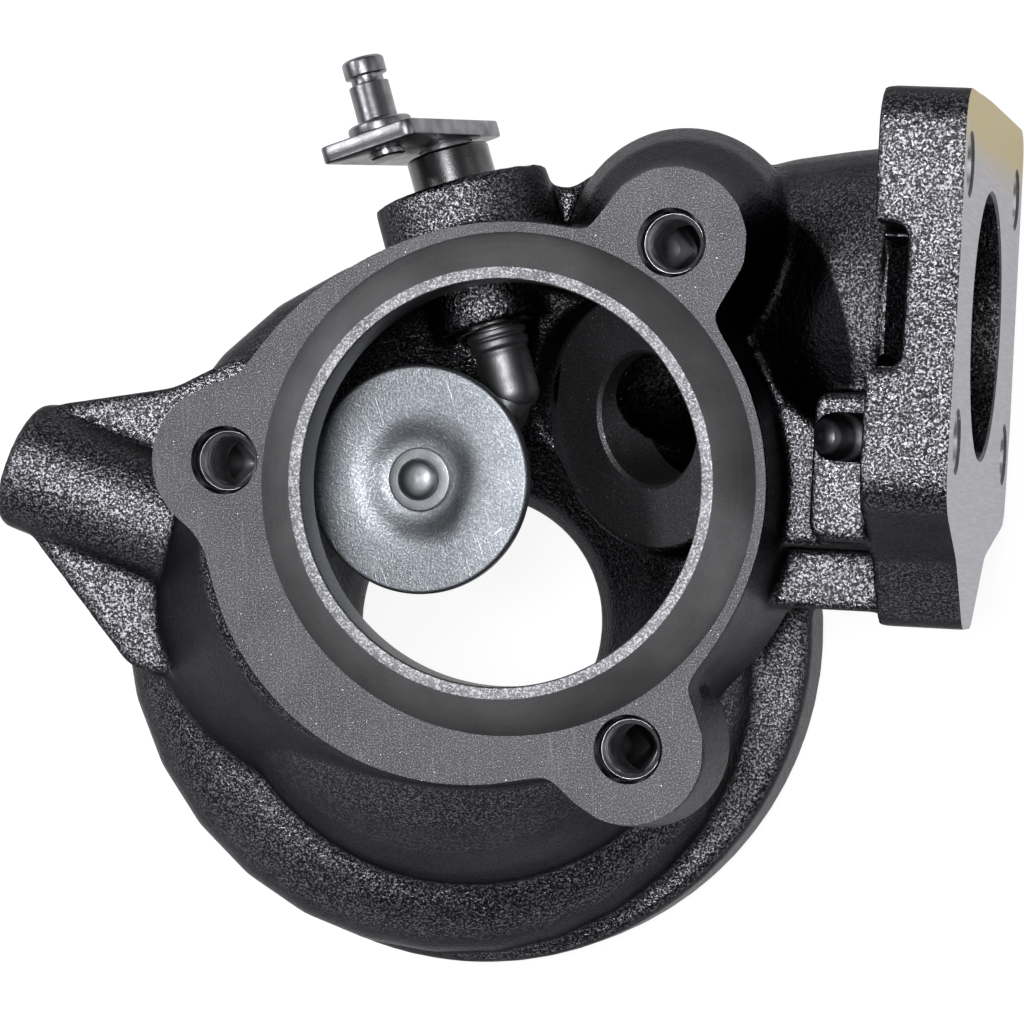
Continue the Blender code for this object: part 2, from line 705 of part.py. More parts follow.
def add_webs(masses, axis):
    """The stub boss on the left with its web, and the webs between the chamber and the inlet flange."""
    along = Matrix.Rotation(math.radians(STUB_TURN_DEG), 4, "Z") @ Matrix.Rotation(math.pi / 2, 4, "Y")
    place = Matrix.Translation(STUB_END) @ along
    edge = 1.2 * MM
    profile = [(STUB_RADIUS - edge, 0.0), (STUB_RADIUS, edge), (STUB_RADIUS, STUB_LENGTH)]
    add("stub_mass", turned(profile, MEDIUM), axis, place, masses)
    outline = [
        (-62.0, 29.0, 3.0),
        (-43.5, 32.4, 8.0),
        (-34.0, 37.5, 4.0),
        (-20.0, 34.0, 4.0),
        (-22.0, -5.0, 4.0),
        (-46.8, -9.2, 6.0),
        (-63.6, 10.2, 3.0),
    ]
    half = 0.5 * STUB_WEB
    web = block(outline, STUB_END[2] - half, STUB_END[2] + half)
    add("stub_web_mass", web, axis, None, masses)
    bridge = [(4.0, 48.0, 2.0), (6.0, 63.3, 2.0), (14.0, 62.8, 2.0), (25.0, 70.0, 3.0), (34.0, 50.0, 3.0)]
    add("bridge_mass", block(bridge, 24.0 * MM, 41.0 * MM), axis, None, masses)
    behind = INLET_FACE_X - INLET_PLATE + 1.5 * MM
    pad = [(53.4, 15.0, 2.0), (behind / MM, 15.0, 0.5), (behind / MM, 35.0, 0.5), (53.4, 35.0, 2.0)]
    add("drill_pad_mass", block(pad, 30.0 * MM, 66.9 * MM), axis, None, masses)
    foot = [(44.0, 14.0, 2.0), (behind / MM, 14.0, 0.5), (behind / MM, 36.0, 0.5), (48.0, 36.0, 2.0)]
    add("pad_foot_mass", block(foot, 30.0 * MM, 52.0 * MM), axis, None, masses)
    low_web = [(38.0, 5.6, 2.0), (behind / MM, 5.6, 0.5), (behind / MM, 15.5, 0.5), (38.0, 15.5, 2.0)]
    add("low_web_mass", block(low_web, 12.0 * MM, 45.0 * MM), axis, None, masses)


def add_inlet_holes(hollows, axis):
    """Four threaded holes through the inlet flange, one of them drilled on into the pad behind it."""
    face = frame((INLET_FACE_X, 0.0, 0.0), (0.0, 1.0, 0.0), (0.0, 0.0, 1.0))
    number = 0
    for side_z in (-0.5, 0.5):
        for side_y in (-0.5, 0.5):
            number += 1
            y = INLET_HOLES_Y + side_y * INLET_HOLE_PITCH_Y
            z = INLET_HOLES_Z + side_z * INLET_HOLE_PITCH_Z
            into_pad = side_y < 0.0 < side_z
            depth = INLET_FACE_X - INLET_DRILL_END_X if into_pad else INLET_PLATE + 4.0 * MM
            place = face @ moved(y, z)
            add(f"inlet_hole_cut_{number}", drilled(depth, 1.0 * MM), axis, place, hollows)
    relief = [(52.0, 38.0, 1.0), (65.8, 38.0, 1.5), (65.8, 57.0, 1.5), (52.0, 57.0, 1.0)]
    add("relief_cut", block(relief, 63.0 * MM, 90.0 * MM), axis, None, hollows)


def bush(hinge, steel):
    inner = SHAFT_RADIUS + SHAFT_CLEARANCE
    edge = 0.5 * MM
    profile = [
        (inner, BUSH_IN),
        (BUSH_RADIUS - edge, BUSH_IN),
        (BUSH_RADIUS, BUSH_IN - edge),
        (BUSH_RADIUS, -BUSH_OUT + edge),
        (BUSH_RADIUS - edge, -BUSH_OUT),
        (inner, -BUSH_OUT),
    ]
    add("wastegate_bush", turned(profile, MEDIUM, joined=True), hinge, None, None, steel)


def wastegate_arm(hinge, steel):
    """Shaft, collar and barrel turned about the hinge, a bent link, and the eye and stud that hold the valve."""
    parts = group("arm_masses")
    crank_top = BUSH_OUT + CRANK_GAP + CRANK_THICKNESS
    collar = BUSH_IN + RUNNING_GAP
    profile = [
        (SHAFT_RADIUS - 0.4 * MM, -crank_top - 0.6 * MM),
        (SHAFT_RADIUS, -crank_top - 0.2 * MM),
        (SHAFT_RADIUS, collar),
        (ARM_COLLAR_RADIUS, collar),
        (ARM_COLLAR_RADIUS, 0.9 * MM),
        (ARM_BARREL_RADIUS - 0.3 * MM, 1.2 * MM),
        (ARM_BARREL_RADIUS, 1.6 * MM),
        (ARM_BARREL_RADIUS, 8.0 * MM),
        (ARM_BARREL_RADIUS - 0.6 * MM, 9.6 * MM),
    ]
    arm = add("wastegate_arm", turned(profile, MEDIUM), hinge, None, None, steel)
    place = valve_matrix(OPEN_DEG)
    back = -VALVE_THICKNESS - RUNNING_GAP
    eye = turned(
        [
            (ARM_EYE_RADIUS - 1.3 * MM, back - 5.2 * MM),
            (ARM_EYE_RADIUS, back - 3.9 * MM),
            (ARM_EYE_RADIUS, back - 0.6 * MM),
            (ARM_EYE_RADIUS - 0.6 * MM, back),
        ],
        MEDIUM,
    )
    add("eye_mass", eye, hinge, place, parts)
    rivet_low = -RECESS_DEPTH + RUNNING_GAP + WASHER_THICKNESS + RUNNING_GAP
    rise = RIVET_RADIUS * 0.5
    stud = turned(
        [
            (STUD_RADIUS, back - 1.0 * MM),
            (STUD_RADIUS, rivet_low),
            (RIVET_RADIUS, rivet_low),
            (RIVET_RADIUS, rivet_low + 0.3 * rise),
            (RIVET_RADIUS * 0.88, rivet_low + 0.65 * rise),
            (RIVET_RADIUS * 0.55, rivet_low + 0.92 * rise),
            (RIVET_RADIUS * 0.2, rivet_low + rise),
        ],
        COARSE,
    )
    add("stud_mass", stud, hinge, place, parts)
    add("link_mass", arm_link(place, back), hinge, None, parts)
    boolean(arm, "join arm", "UNION", parts)


def arm_link(place, back):
    """A round link that leaves the end of the barrel and bends into the side of the eye."""
    start = Vector((0.0, 0.0, 4.0 * MM))
    pull = Vector((0.0, 0.0, 11.0 * MM))
    end = place @ Vector((0.0, 0.0, back - 2.9 * MM))
    inward = (end - Vector((0.0, 0.0, end.z))).normalized()
    bend = end - inward * (7.0 * MM)
    bend.z = end.z - 0.5 * MM
    rings = []
    for t in np.linspace(0.0, 1.0, 13):
        u = 1.0 - t
        point = start * u**3 + pull * 3 * u * u * t + bend * 3 * u * t * t + end * t**3
        slope = (pull - start) * 3 * u * u + (bend - pull) * 6 * u * t + (end - bend) * 3 * t * t
        slope.normalize()
        side = slope.orthogonal() if t == 0.0 else side
        side = (side - slope * side.dot(slope)).normalized()
        radius = ARM_BARREL_RADIUS - 0.3 * MM - 0.7 * MM * t
        rings.append(circle_ring(point, side, slope.cross(side), radius, COARSE))
    return skinned(rings)


def valve(hinge, valve_steel, steel):
    place = valve_matrix(OPEN_DEG)
    hole = STUD_RADIUS + RUNNING_GAP
    lip = 0.5 * MM
    profile = [
        (hole, -VALVE_THICKNESS),
        (VALVE_RADIUS - VALVE_EDGE, -VALVE_THICKNESS),
        (VALVE_RADIUS, -VALVE_THICKNESS + VALVE_EDGE),
        (VALVE_RADIUS, -0.3 * MM),
        (VALVE_RADIUS - 0.3 * MM, 0.0),
        (RECESS_RADIUS, 0.0),
        (RECESS_RADIUS - lip, -0.5 * MM),
        (RECESS_RADIUS - lip - 0.4 * MM, -RECESS_DEPTH),
        (hole, -RECESS_DEPTH),
    ]
    add("valve_disc", turned(profile, FINE, joined=True), hinge, place, None, valve_steel)
    low = -RECESS_DEPTH + RUNNING_GAP
    ring = [
        (hole, low),
        (WASHER_RADIUS, low),
        (WASHER_RADIUS, low + WASHER_THICKNESS - 0.2 * MM),
        (WASHER_RADIUS - 0.2 * MM, low + WASHER_THICKNESS),
        (hole, low + WASHER_THICKNESS),
    ]
    add("valve_washer", turned(ring, MEDIUM, joined=True), hinge, place, None, steel)


def crank(hinge, steel):
    """A plate on the end of the shaft and the grooved pin that is riveted through it."""
    under = BUSH_OUT + CRANK_GAP
    corners = [
        (0.0, 0.0, CRANK_CORNER),
        (CRANK_LENGTH, 0.0, CRANK_CORNER),
        (CRANK_LENGTH, CRANK_WIDTH, CRANK_CORNER),
        (0.0, CRANK_WIDTH, CRANK_CORNER),
    ]
    plate = prism(rounded(corners, 5), 0.0, CRANK_THICKNESS)
    lever = add("crank_lever", plate, hinge, crank_matrix(0.0, 0.0, under), None, steel)
    holes = group("crank_holes")
    high = CRANK_THICKNESS + 1.0 * MM
    at_shaft = crank_matrix(CRANK_SHAFT_ALONG, CRANK_SHAFT_ACROSS, under)
    at_pin = crank_matrix(CRANK_PIN_ALONG, CRANK_PIN_ACROSS, under)
    shaft_hole = rod(SHAFT_RADIUS + FIT_GAP, -1.0 * MM, high, MEDIUM)
    add("shaft_hole_cut", shaft_hole, hinge, at_shaft, holes)
    pin_hole = rod(PIN_TAIL_RADIUS + FIT_GAP, -1.0 * MM, high, MEDIUM)
    add("pin_hole_cut", pin_hole, hinge, at_pin, holes)
    boolean(lever, "bore", "DIFFERENCE", holes)
    base = CRANK_THICKNESS + FIT_GAP
    tail = -FIT_GAP
    profile = [
        (PIN_TAIL_RADIUS, tail - PIN_TAIL_HEAD),
        (PIN_TAIL_RADIUS + 0.5 * MM, tail - PIN_TAIL_HEAD + 0.2 * MM),
        (PIN_TAIL_RADIUS + 0.5 * MM, tail),
        (PIN_TAIL_RADIUS, tail),
        (PIN_TAIL_RADIUS, base),
        (PIN_COLLAR_RADIUS, base),
        (PIN_COLLAR_RADIUS, base + PIN_COLLAR - 0.3 * MM),
        (PIN_COLLAR_RADIUS - 0.3 * MM, base + PIN_COLLAR),
        (PIN_RADIUS, base + PIN_COLLAR),
        (PIN_RADIUS, base + PIN_BODY_TOP),
        (PIN_GROOVE_RADIUS, base + PIN_BODY_TOP),
        (PIN_GROOVE_RADIUS, base + PIN_GROOVE_TOP),
        (PIN_HEAD_RADIUS, base + PIN_GROOVE_TOP),
        (PIN_HEAD_RADIUS, base + PIN_TOP - 0.4 * MM),
        (PIN_HEAD_RADIUS - 0.4 * MM, base + PIN_TOP),
    ]
    add("crank_pin", turned(profile, MEDIUM), hinge, at_pin, None, steel)


def centre_of_footprint(axis):
    """Moves the whole part so that its origin is the middle of its footprint."""
    stub_turn = math.radians(STUB_TURN_DEG)
    left = STUB_END[0] + STUB_RADIUS * math.sin(stub_turn)
    pin_out = BUSH_OUT + CRANK_GAP + CRANK_THICKNESS + FIT_GAP + PIN_TOP
    pin_end = hinge_matrix() @ crank_matrix(CRANK_PIN_ALONG, CRANK_PIN_ACROSS, pin_out)
    pin_high = pin_end.translation.y + PIN_HEAD_RADIUS * math.sin(math.radians(HINGE_LEAN_DEG))
    top = max(INLET_HIGH_Y, pin_high)
    axis.location = (-0.5 * (left + INLET_FACE_X), -0.5 * (top + REAR_SHIFT_Y - REAR_RADIUS), 0.0)


def build():
    clear_scene()
    iron = finish("cast_iron", (0.035, 0.035, 0.037), 0.85, 0.55)
    steel = finish("turned_steel", (0.42, 0.42, 0.43), 1.0, 0.3)
    valve_steel = finish("valve_steel", (0.45, 0.48, 0.52), 1.0, 0.35)
    masses = group("casting_masses")
    hollows = group("casting_hollows")
    axis = empty("turbine_axis", None, Matrix())
    hinge = empty("wastegate_hinge", axis, hinge_matrix())
    casting(masses, hollows, axis, hinge, iron)
    bush(hinge, steel)
    wastegate_arm(hinge, steel)
    valve(hinge, valve_steel, steel)
    crank(hinge, steel)
    centre_of_footprint(axis)


build()
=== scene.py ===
"""Turbocharger turbine housing: the looks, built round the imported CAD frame.

Lengths are in millimetres in the turbine's own frame, whose origin is on the turbine axis at the rear
face, with z out of the outlet and x out of the inlet flange. placed() turns them into the scene's metres.
"""

import json
import math

import bmesh
import bpy
import numpy as np
from mathutils import Matrix, Vector

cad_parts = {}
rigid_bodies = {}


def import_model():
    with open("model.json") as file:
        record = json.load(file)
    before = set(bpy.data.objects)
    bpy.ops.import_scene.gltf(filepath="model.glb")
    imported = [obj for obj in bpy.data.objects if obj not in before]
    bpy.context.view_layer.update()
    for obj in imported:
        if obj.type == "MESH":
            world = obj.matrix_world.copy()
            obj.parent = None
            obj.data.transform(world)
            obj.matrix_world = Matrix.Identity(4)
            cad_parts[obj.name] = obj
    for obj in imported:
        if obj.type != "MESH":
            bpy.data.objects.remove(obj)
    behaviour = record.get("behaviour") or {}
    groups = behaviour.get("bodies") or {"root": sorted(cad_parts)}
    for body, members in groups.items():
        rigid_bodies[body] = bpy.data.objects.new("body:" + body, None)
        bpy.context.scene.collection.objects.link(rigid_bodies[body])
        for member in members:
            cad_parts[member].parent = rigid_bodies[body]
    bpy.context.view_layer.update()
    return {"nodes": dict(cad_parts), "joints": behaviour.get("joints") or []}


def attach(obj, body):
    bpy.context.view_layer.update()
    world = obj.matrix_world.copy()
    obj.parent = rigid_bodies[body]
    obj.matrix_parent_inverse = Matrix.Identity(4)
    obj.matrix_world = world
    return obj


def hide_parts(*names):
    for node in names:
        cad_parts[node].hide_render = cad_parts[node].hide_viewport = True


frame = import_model()

MM = 0.001

# Where things are on the casting.
HINGE = (5.4, 40.5, 44.0)
OUTLET = (12.0, 20.5)
OUTLET_FACE = 66.0
OUTLET_BORE = 27.4
LIP_TOP = 71.0
LIP_RADIUS = 29.1
CONE_RADIUS = 34.1
EAR_CIRCLE = 39.5
EAR_DEGREES = (58.0, 178.0, 298.0)
INLET_FACE = 73.0
INLET_TOP_EDGE = 76.0
INLET_PLATE = 11.6
INLET_PORT = (45.7, 39.5)
INLET_PORT_RADIUS = 18.3
INLET_HOLES = (47.3, 38.4)
INLET_HOLE_PITCH = (36.8, 60.6)
INLET_DRILL_END = 54.6
PAD_TOP = 66.9
NOTCH_X = (INLET_FACE - INLET_PLATE - 0.4, 65.6)
NOTCH_Y = (38.6, 56.6)
NOTCH_FLOOR = 63.1

# Threads for M8 studs, drawn coarser than they are so that their rings show.
THREAD_CORE = 3.35
THREAD_MAJOR = 4.0
THREAD_PITCH = 1.75
THREAD_HOLE = THREAD_MAJOR + 0.05
MOUTH_RADIUS = 4.3
MOUTH_DEPTH = 2.0
OUTLET_THREAD_START = 2.4
OUTLET_THREAD_END = 15.0
INLET_THREAD_START = 0.4

# Wastegate, as in the part's source.
HINGE_LEAN = 18.4
SEAT_TILT = 36.0
OPEN = 150.0
ARM_REACH = 13.4
ARM_DROP = 10.4
ARM_ALONG = 16.1
SEAT_GAP = 0.4
SEAT_RADIUS = 17.6
PORT_RADIUS = 9.3
VALVE_RADIUS = 15.9
VALVE_THICKNESS = 2.6
DISH_DEPTH = 1.7
PIECE_GAP = 0.25
SHAFT_RADIUS = 3.6
SHAFT_CLEARANCE = 0.3
BUSH_RADIUS = 5.85
BUSH_OUT = 27.7
BUSH_IN = -1.8
CRANK_GAP = 0.8
CRANK_THICKNESS = 2.3
CRANK_LENGTH = 28.4
CRANK_WIDTH = 14.7
CRANK_TURN = -74.7
CRANK_SHAFT = (20.6, 5.6)
CRANK_PIN = (6.3, 7.6)

hinge_joint = next(joint for joint in frame["joints"] if joint["name"] == "wastegate_hinge")
SHIFT = np.array(hinge_joint["pos_m"]) / MM - np.array(HINGE)


# Geometry helpers


def placed(points):
    """Millimetres in the turbine's frame to metres in the scene's."""
    return (np.asarray(points, float) + SHIFT) * MM


def axes(origin, x_axis, y_axis):
    """A matrix in millimetres with its origin and two of its axes given."""
    x = Vector(x_axis).normalized()
    z = x.cross(Vector(y_axis)).normalized()
    matrix = Matrix((x, z.cross(x), z)).transposed().to_4x4()
    matrix.translation = Vector(origin)
    return matrix


def along(matrix, points):
    """Points of a matrix's own frame, in the turbine's frame."""
    matrix = np.array(matrix)
    return np.asarray(points, float) @ matrix[:3, :3].T + matrix[:3, 3]


def mesh_object(name, points, faces, material, sharp=35.0):
    """A mesh of points in millimetres in the turbine's frame, smooth but for its sharp edges."""
    mesh = bpy.data.meshes.new(name)
    mesh.from_pydata(placed(points), [], faces)
    mesh.validate()
    mesh.shade_smooth()
    mesh.set_sharp_from_angle(angle=math.radians(sharp))
    obj = bpy.data.objects.new(name, mesh)
    bpy.context.scene.collection.objects.link(obj)
    if material:
        mesh.materials.append(material)
    return obj


def grid_faces(rows, columns, wrap_rows, wrap_columns):
    """Quads between the points of a grid, numbered row by row."""
    row = np.arange(rows if wrap_rows else rows - 1)
    column = np.arange(columns if wrap_columns else columns - 1)
    row, column = [part.reshape(-1) for part in np.meshgrid(row, column, indexing="ij")]
    next_row = (row + 1) % rows
    next_column = (column + 1) % columns
    corners = [
        row * columns + column,
        next_row * columns + column,
        next_row * columns + next_column,
        row * columns + next_column,
    ]
    return np.stack(corners, axis=1)


def softened(corners, closed=False, parts=4):
    """A line through (a, b, radius) corners, each rounded by a curve of that size in `parts` steps."""
    corners = np.asarray(corners, float)
    found = []
    count = len(corners)
    for number, (a, b, radius) in enumerate(corners):
        here = np.array((a, b))
        inner = closed or 0 < number < count - 1
        if radius <= 0.0 or not inner:
            found.append(here[None])
            continue
        before = corners[number - 1, :2] - here
        after = corners[(number + 1) % count, :2] - here
        reach = [min(radius, 0.45 * np.linalg.norm(side)) for side in (before, after)]
        start = here + before / np.linalg.norm(before) * reach[0]
        end = here + after / np.linalg.norm(after) * reach[1]
        t = np.linspace(0.0, 1.0, parts + 1)[:, None]
        found.append((1 - t) ** 2 * start + 2 * t * (1 - t) * here + t**2 * end)
    return np.concatenate(found)


def end_faces(rows, around):
    """The two faces that close a tube of rings, numbered ring by ring."""
    last = (rows - 1) * around
    return [list(range(around - 1, -1, -1)), list(range(last, last + around))]


def rings(radius, height, around):
    """Points on rings about the z axis, one ring at each height. The radius may change round a ring."""
    angle = np.linspace(0.0, 2 * math.pi, around, endpoint=False)
    parts = (radius * np.cos(angle), radius * np.sin(angle), height[:, None])
    return np.stack(np.broadcast_arrays(*parts), axis=2).reshape(-1, 3)


def turned(name, corners, place, material, steps=96, closed=False):
    """A profile of (radius, height, rounding) corners turned once about the z axis of `place`.
    The first and last rings of an open profile are closed by flat faces."""
    radius, height = softened(corners, closed).T
    faces = grid_faces(len(radius), steps, closed, True)[:, ::-1].tolist()
    if not closed:
        faces += end_faces(len(radius), steps)
    return mesh_object(name, along(place, rings(radius[:, None], height, steps)), faces, material)


def ring_pairs(ring):
    """Each item of a closed ring with the one after it."""
    return list(zip(ring, ring[1:] + ring[:1]))


def wall(bm, lower, upper):
    """Faces between two rings with as many points."""
    for (a, b), (c, d) in zip(ring_pairs(lower), ring_pairs(upper)):
        bm.faces.new((a, b, d, c))


def plate(name, outline, low, high, place, material, holes, edge=0.25):
    """An outline of (x, y, rounding) corners between two heights, with small rounded edges.
    Each hole is (x, y, radius)."""
    line = softened(outline, closed=True, parts=8)
    after = np.roll(line, -1, axis=0) - line
    before = line - np.roll(line, 1, axis=0)
    normal = np.stack([after[:, 1] + before[:, 1], -after[:, 0] - before[:, 0]], axis=1)
    normal /= np.linalg.norm(normal, axis=1)[:, None]
    levels = [(edge, low), (0.3 * edge, low + 0.3 * edge), (0.0, low + edge)]
    levels += [(0.0, high - edge), (0.3 * edge, high - 0.3 * edge), (edge, high)]
    bm = bmesh.new()
    sides = [[bm.verts.new((x, y, height)) for x, y in line - normal * inset] for inset, height in levels]
    for lower, upper in zip(sides[:-1], sides[1:]):
        wall(bm, lower, upper)
    angle = np.linspace(0.0, 2 * math.pi, 48, endpoint=False)
    circle = np.stack([np.cos(angle), np.sin(angle)], axis=1)
    circles = []
    for side, height in ((sides[0], low), (sides[-1], high)):
        edges = [bm.edges.get(pair) for pair in ring_pairs(side)]
        for *middle, radius in holes:
            around = [bm.verts.new((x, y, height)) for x, y in middle + radius * circle]
            edges += [bm.edges.new(pair) for pair in ring_pairs(around)]
            circles.append(around)
        bmesh.ops.triangle_fill(bm, use_beauty=True, use_dissolve=False, edges=edges)
    for lower, upper in zip(circles[: len(holes)], circles[len(holes) :]):
        wall(bm, upper, lower)
    bmesh.ops.recalc_face_normals(bm, faces=bm.faces)
    bm.verts.index_update()
    points = np.array([vert.co for vert in bm.verts])
    faces = [[vert.index for vert in face.verts] for face in bm.faces]
    bm.free()
    return mesh_object(name, along(place, points), faces, material)


def thread(name, depth, place, material):
    """A threaded sleeve whose inside is a helix between the core and the outer radius of the thread,
    r = core + rise * wave(height / pitch + turn). Its outside is hidden in the drilled hole."""
    around = 60
    steps_a_pitch = 8
    flat = 0.12
    height = np.linspace(0.0, -depth, int(depth / THREAD_PITCH * steps_a_pitch) + 1)
    turn = np.linspace(0.0, 1.0, around, endpoint=False)
    wave = np.abs((height[:, None] / THREAD_PITCH + turn) % 1.0 * 2.0 - 1.0)
    wave = np.clip((wave - flat) / (1.0 - 2.0 * flat), 0.0, 1.0)
    first_millimetre = np.clip(1.0 + height[:, None], 0.0, 1.0)
    inner = THREAD_CORE + (THREAD_MAJOR - THREAD_CORE) * np.maximum(wave, first_millimetre)
    outer = np.full_like(inner[:1], THREAD_MAJOR + 0.06)
    radius = np.concatenate([outer, inner, outer])
    height = np.concatenate([height[:1], height, height[-1:]])
    faces = grid_faces(len(height), around, True, True).tolist()
    return mesh_object(name, along(place, rings(radius, height, around)), faces, material, sharp=50.0)


def swept(name, centres, radii, place, material, around=48):
    """A round bar through the centres, with its own radius at each of them."""
    slope = np.gradient(centres, axis=0)
    slope /= np.linalg.norm(slope, axis=1)[:, None]
    never_along = (0.3, 0.8, 0.1)
    side = np.cross(slope, never_along)
    side /= np.linalg.norm(side, axis=1)[:, None]
    up = np.cross(slope, side)
    angle = np.linspace(0.0, 2 * math.pi, around, endpoint=False)
    circles = np.cos(angle)[None, :, None] * side[:, None] + np.sin(angle)[None, :, None] * up[:, None]
    grid = centres[:, None] + radii[:, None, None] * circles
    faces = grid_faces(len(centres), around, False, True)[:, ::-1].tolist()
    faces += end_faces(len(centres), around)
    return mesh_object(name, along(place, grid.reshape(-1, 3)), faces, material)


def modified(obj):
    """Applies the object's modifiers to its own mesh."""
    graph = bpy.context.evaluated_depsgraph_get()
    mesh = bpy.data.meshes.new_from_object(obj.evaluated_get(graph))
    obj.modifiers.clear()
    obj.data = mesh
    return mesh


def read_points(mesh):
    points = np.empty(len(mesh.vertices) * 3, np.float32)
    mesh.vertices.foreach_get("co", points)
    return points.reshape(-1, 3).astype(float)


# Places on the part


def hinge_place():
    """The hinge's middle, with z along the shaft into the housing."""
    lean = math.radians(HINGE_LEAN)
    return axes(HINGE, (math.cos(lean), math.sin(lean), 0.0), (0.0, 0.0, 1.0))


def valve_place(open_degrees, out=0.0):
    """The middle of the sealing face, with z out of that face."""
    angle = math.radians(SEAT_TILT + open_degrees)
    across = Vector((math.cos(angle), math.sin(angle), 0.0))
    normal = Vector((math.sin(angle), -math.cos(angle), 0.0))
    origin = across * ARM_REACH + normal * (ARM_DROP + out)
    origin.z = ARM_ALONG
    return hinge_place() @ axes(origin, across, normal.cross(across))


def crank_place(x, y, out):
    """A point on the crank plate, from its near corner, with z outwards along the shaft."""
    angle = math.radians(CRANK_TURN)
    length = Vector((math.cos(angle), math.sin(angle), 0.0))
    width = Vector((length.y, -length.x, 0.0))
    origin = length * (x - CRANK_SHAFT[0]) + width * (y - CRANK_SHAFT[1])
    origin.z = -out
    return hinge_place() @ axes(origin, length, width)


def seat_place():
    """The seat's middle, with z out of the seat."""
    return valve_place(0.0, SEAT_GAP) @ Matrix.Rotation(math.pi, 4, "X")


def ear_place(degrees):
    """The middle of an outlet hole on the flange's face."""
    angle = math.radians(degrees)
    x = OUTLET[0] + EAR_CIRCLE * math.cos(angle)
    y = OUTLET[1] + EAR_CIRCLE * math.sin(angle)
    return Matrix.Translation((x, y, OUTLET_FACE))


def inlet_place(y, z):
    """A point on the inlet face, with z out of the flange."""
    return axes((INLET_FACE, y, z), (0.0, 1.0, 0.0), (0.0, 0.0, 1.0))


def inlet_hole_places():
    sides = [(y, z) for z in (-0.5, 0.5) for y in (-0.5, 0.5)]
    return [
        inlet_place(INLET_HOLES[0] + y * INLET_HOLE_PITCH[0], INLET_HOLES[1] + z * INLET_HOLE_PITCH[1])
        for y, z in sides
    ]


# Material helpers


def linear(code):
    """A colour written as #rrggbb, as the linear values that a shader takes."""
    values = np.array([int(code[i : i + 2], 16) for i in (1, 3, 5)]) / 255.0
    values = np.where(values <= 0.04045, values / 12.92, ((values + 0.055) / 1.055) ** 2.4)
    return (*values.tolist(), 1.0)


def add(tree, kind, inputs=None, **settings):
    """One shader node. An input is a value or another node's output."""
    made = tree.nodes.new(kind)
    for key, value in settings.items():
        setattr(made, key, value)
    for key, value in (inputs or {}).items():
        if isinstance(value, bpy.types.NodeSocket):
            tree.links.new(value, made.inputs[key])
        else:
            made.inputs[key].default_value = value
    return made


def noise(tree, vector, size_mm, detail=2.0, roughness=0.5):
    """Noise whose grains are about size_mm across."""
    found = add(
        tree,
        "ShaderNodeTexNoise",
        {"Vector": vector, "Scale": 1.0 / (size_mm * MM), "Detail": detail, "Roughness": roughness},
    )
    return found.outputs["Fac"]


def ramp(tree, value, low, high, from_value=0.0, to_value=1.0):
    """Value between low and high, as from_value to to_value, held at the ends."""
    found = add(
        tree,
        "ShaderNodeMapRange",
        {"Value": value, "From Min": low, "From Max": high, "To Min": from_value, "To Max": to_value},
    )
    return found.outputs["Result"]


def mix(tree, factor, first, second):
    """A blend of two colours. The node's sockets are numbered here, since several share a name."""
    found = add(tree, "ShaderNodeMix", data_type="RGBA")
    for number, value in ((0, factor), (6, first), (7, second)):
        if isinstance(value, bpy.types.NodeSocket):
            tree.links.new(value, found.inputs[number])
        else:
            found.inputs[number].default_value = value
    return found.outputs[2]


def bump(tree, height, strength, distance_mm, normal=None):
    inputs = {"Height": height, "Strength": strength, "Distance": distance_mm * MM}
    if normal:
        inputs["Normal"] = normal
    return add(tree, "ShaderNodeBump", inputs).outputs["Normal"]


def stretched(tree, vector, scale, turn=(0.0, 0.0, 0.0)):
    """The coordinates turned, then scaled by their own amount along each axis, for marks that run one way."""
    inverse = tuple(1.0 / part for part in scale)
    inputs = {"Vector": vector, "Scale": inverse, "Rotation": turn}
    return add(tree, "ShaderNodeMapping", inputs, vector_type="TEXTURE").outputs["Vector"]


def calculated(tree, operation, first, second):
    return add(tree, "ShaderNodeMath", {0: first, 1: second}, operation=operation).outputs["Value"]


def measured_from(tree, vector, point):
    """The coordinates measured from a point of the turbine's frame."""
    inputs = {0: vector, 1: placed(point).tolist()}
    return add(tree, "ShaderNodeVectorMath", inputs, operation="SUBTRACT").outputs["Vector"]


def length(tree, vector):
    return add(tree, "ShaderNodeVectorMath", {0: vector}, operation="LENGTH").outputs["Value"]


def split(tree, vector):
    """The x, y and z of a vector."""
    return list(add(tree, "ShaderNodeSeparateXYZ", {"Vector": vector}).outputs)


def patchy(tree, vector, size_mm, roughness, dark, light, low=0.3):
    """Two close colours in patches of about that size."""
    patches = noise(tree, vector, size_mm, 3.0, roughness)
    return mix(tree, ramp(tree, patches, low, 0.7), linear(dark), linear(light))


def metal(name):
    """A metal's material with its tree, its Principled shader and its object coordinates."""
    material = bpy.data.materials.new(name)
    material.use_nodes = True
    tree = material.node_tree
    shader = tree.nodes["Principled BSDF"]
    shader.inputs["Metallic"].default_value = 1.0
    vector = add(tree, "ShaderNodeTexCoord").outputs["Object"]
    return material, tree, shader, vector


def join(tree, shader, colour, roughness, normal):
    for key, value in (("Base Color", colour), ("Roughness", roughness), ("Normal", normal)):
        tree.links.new(value, shader.inputs[key])


# Materials

# Place and size of a patch of painted shade in the valley beside the outlet.
VALLEY_MIDDLE = (47.9, 46.0, 56.0)
VALLEY_REACH = (8.0, 17.0, 16.0)
VALLEY_TURN = 0.44
STAIN_REACH = (13.0, 3.0)


def painted_valley_shade(tree, vector):
    """Painted shade: 1 in the valley between the outlet and the inlet duct, which is painted dark as if in
    shadow, and 0 elsewhere:
    an ellipsoid about its middle, turned to lie along it."""
    scale = [1.0 / (reach * MM) for reach in VALLEY_REACH]
    local = measured_from(tree, vector, VALLEY_MIDDLE)
    sized = stretched(tree, local, scale, (0.0, 0.0, VALLEY_TURN))
    return ramp(tree, length(tree, sized), 0.92, 1.02, 1.0, 0.0)


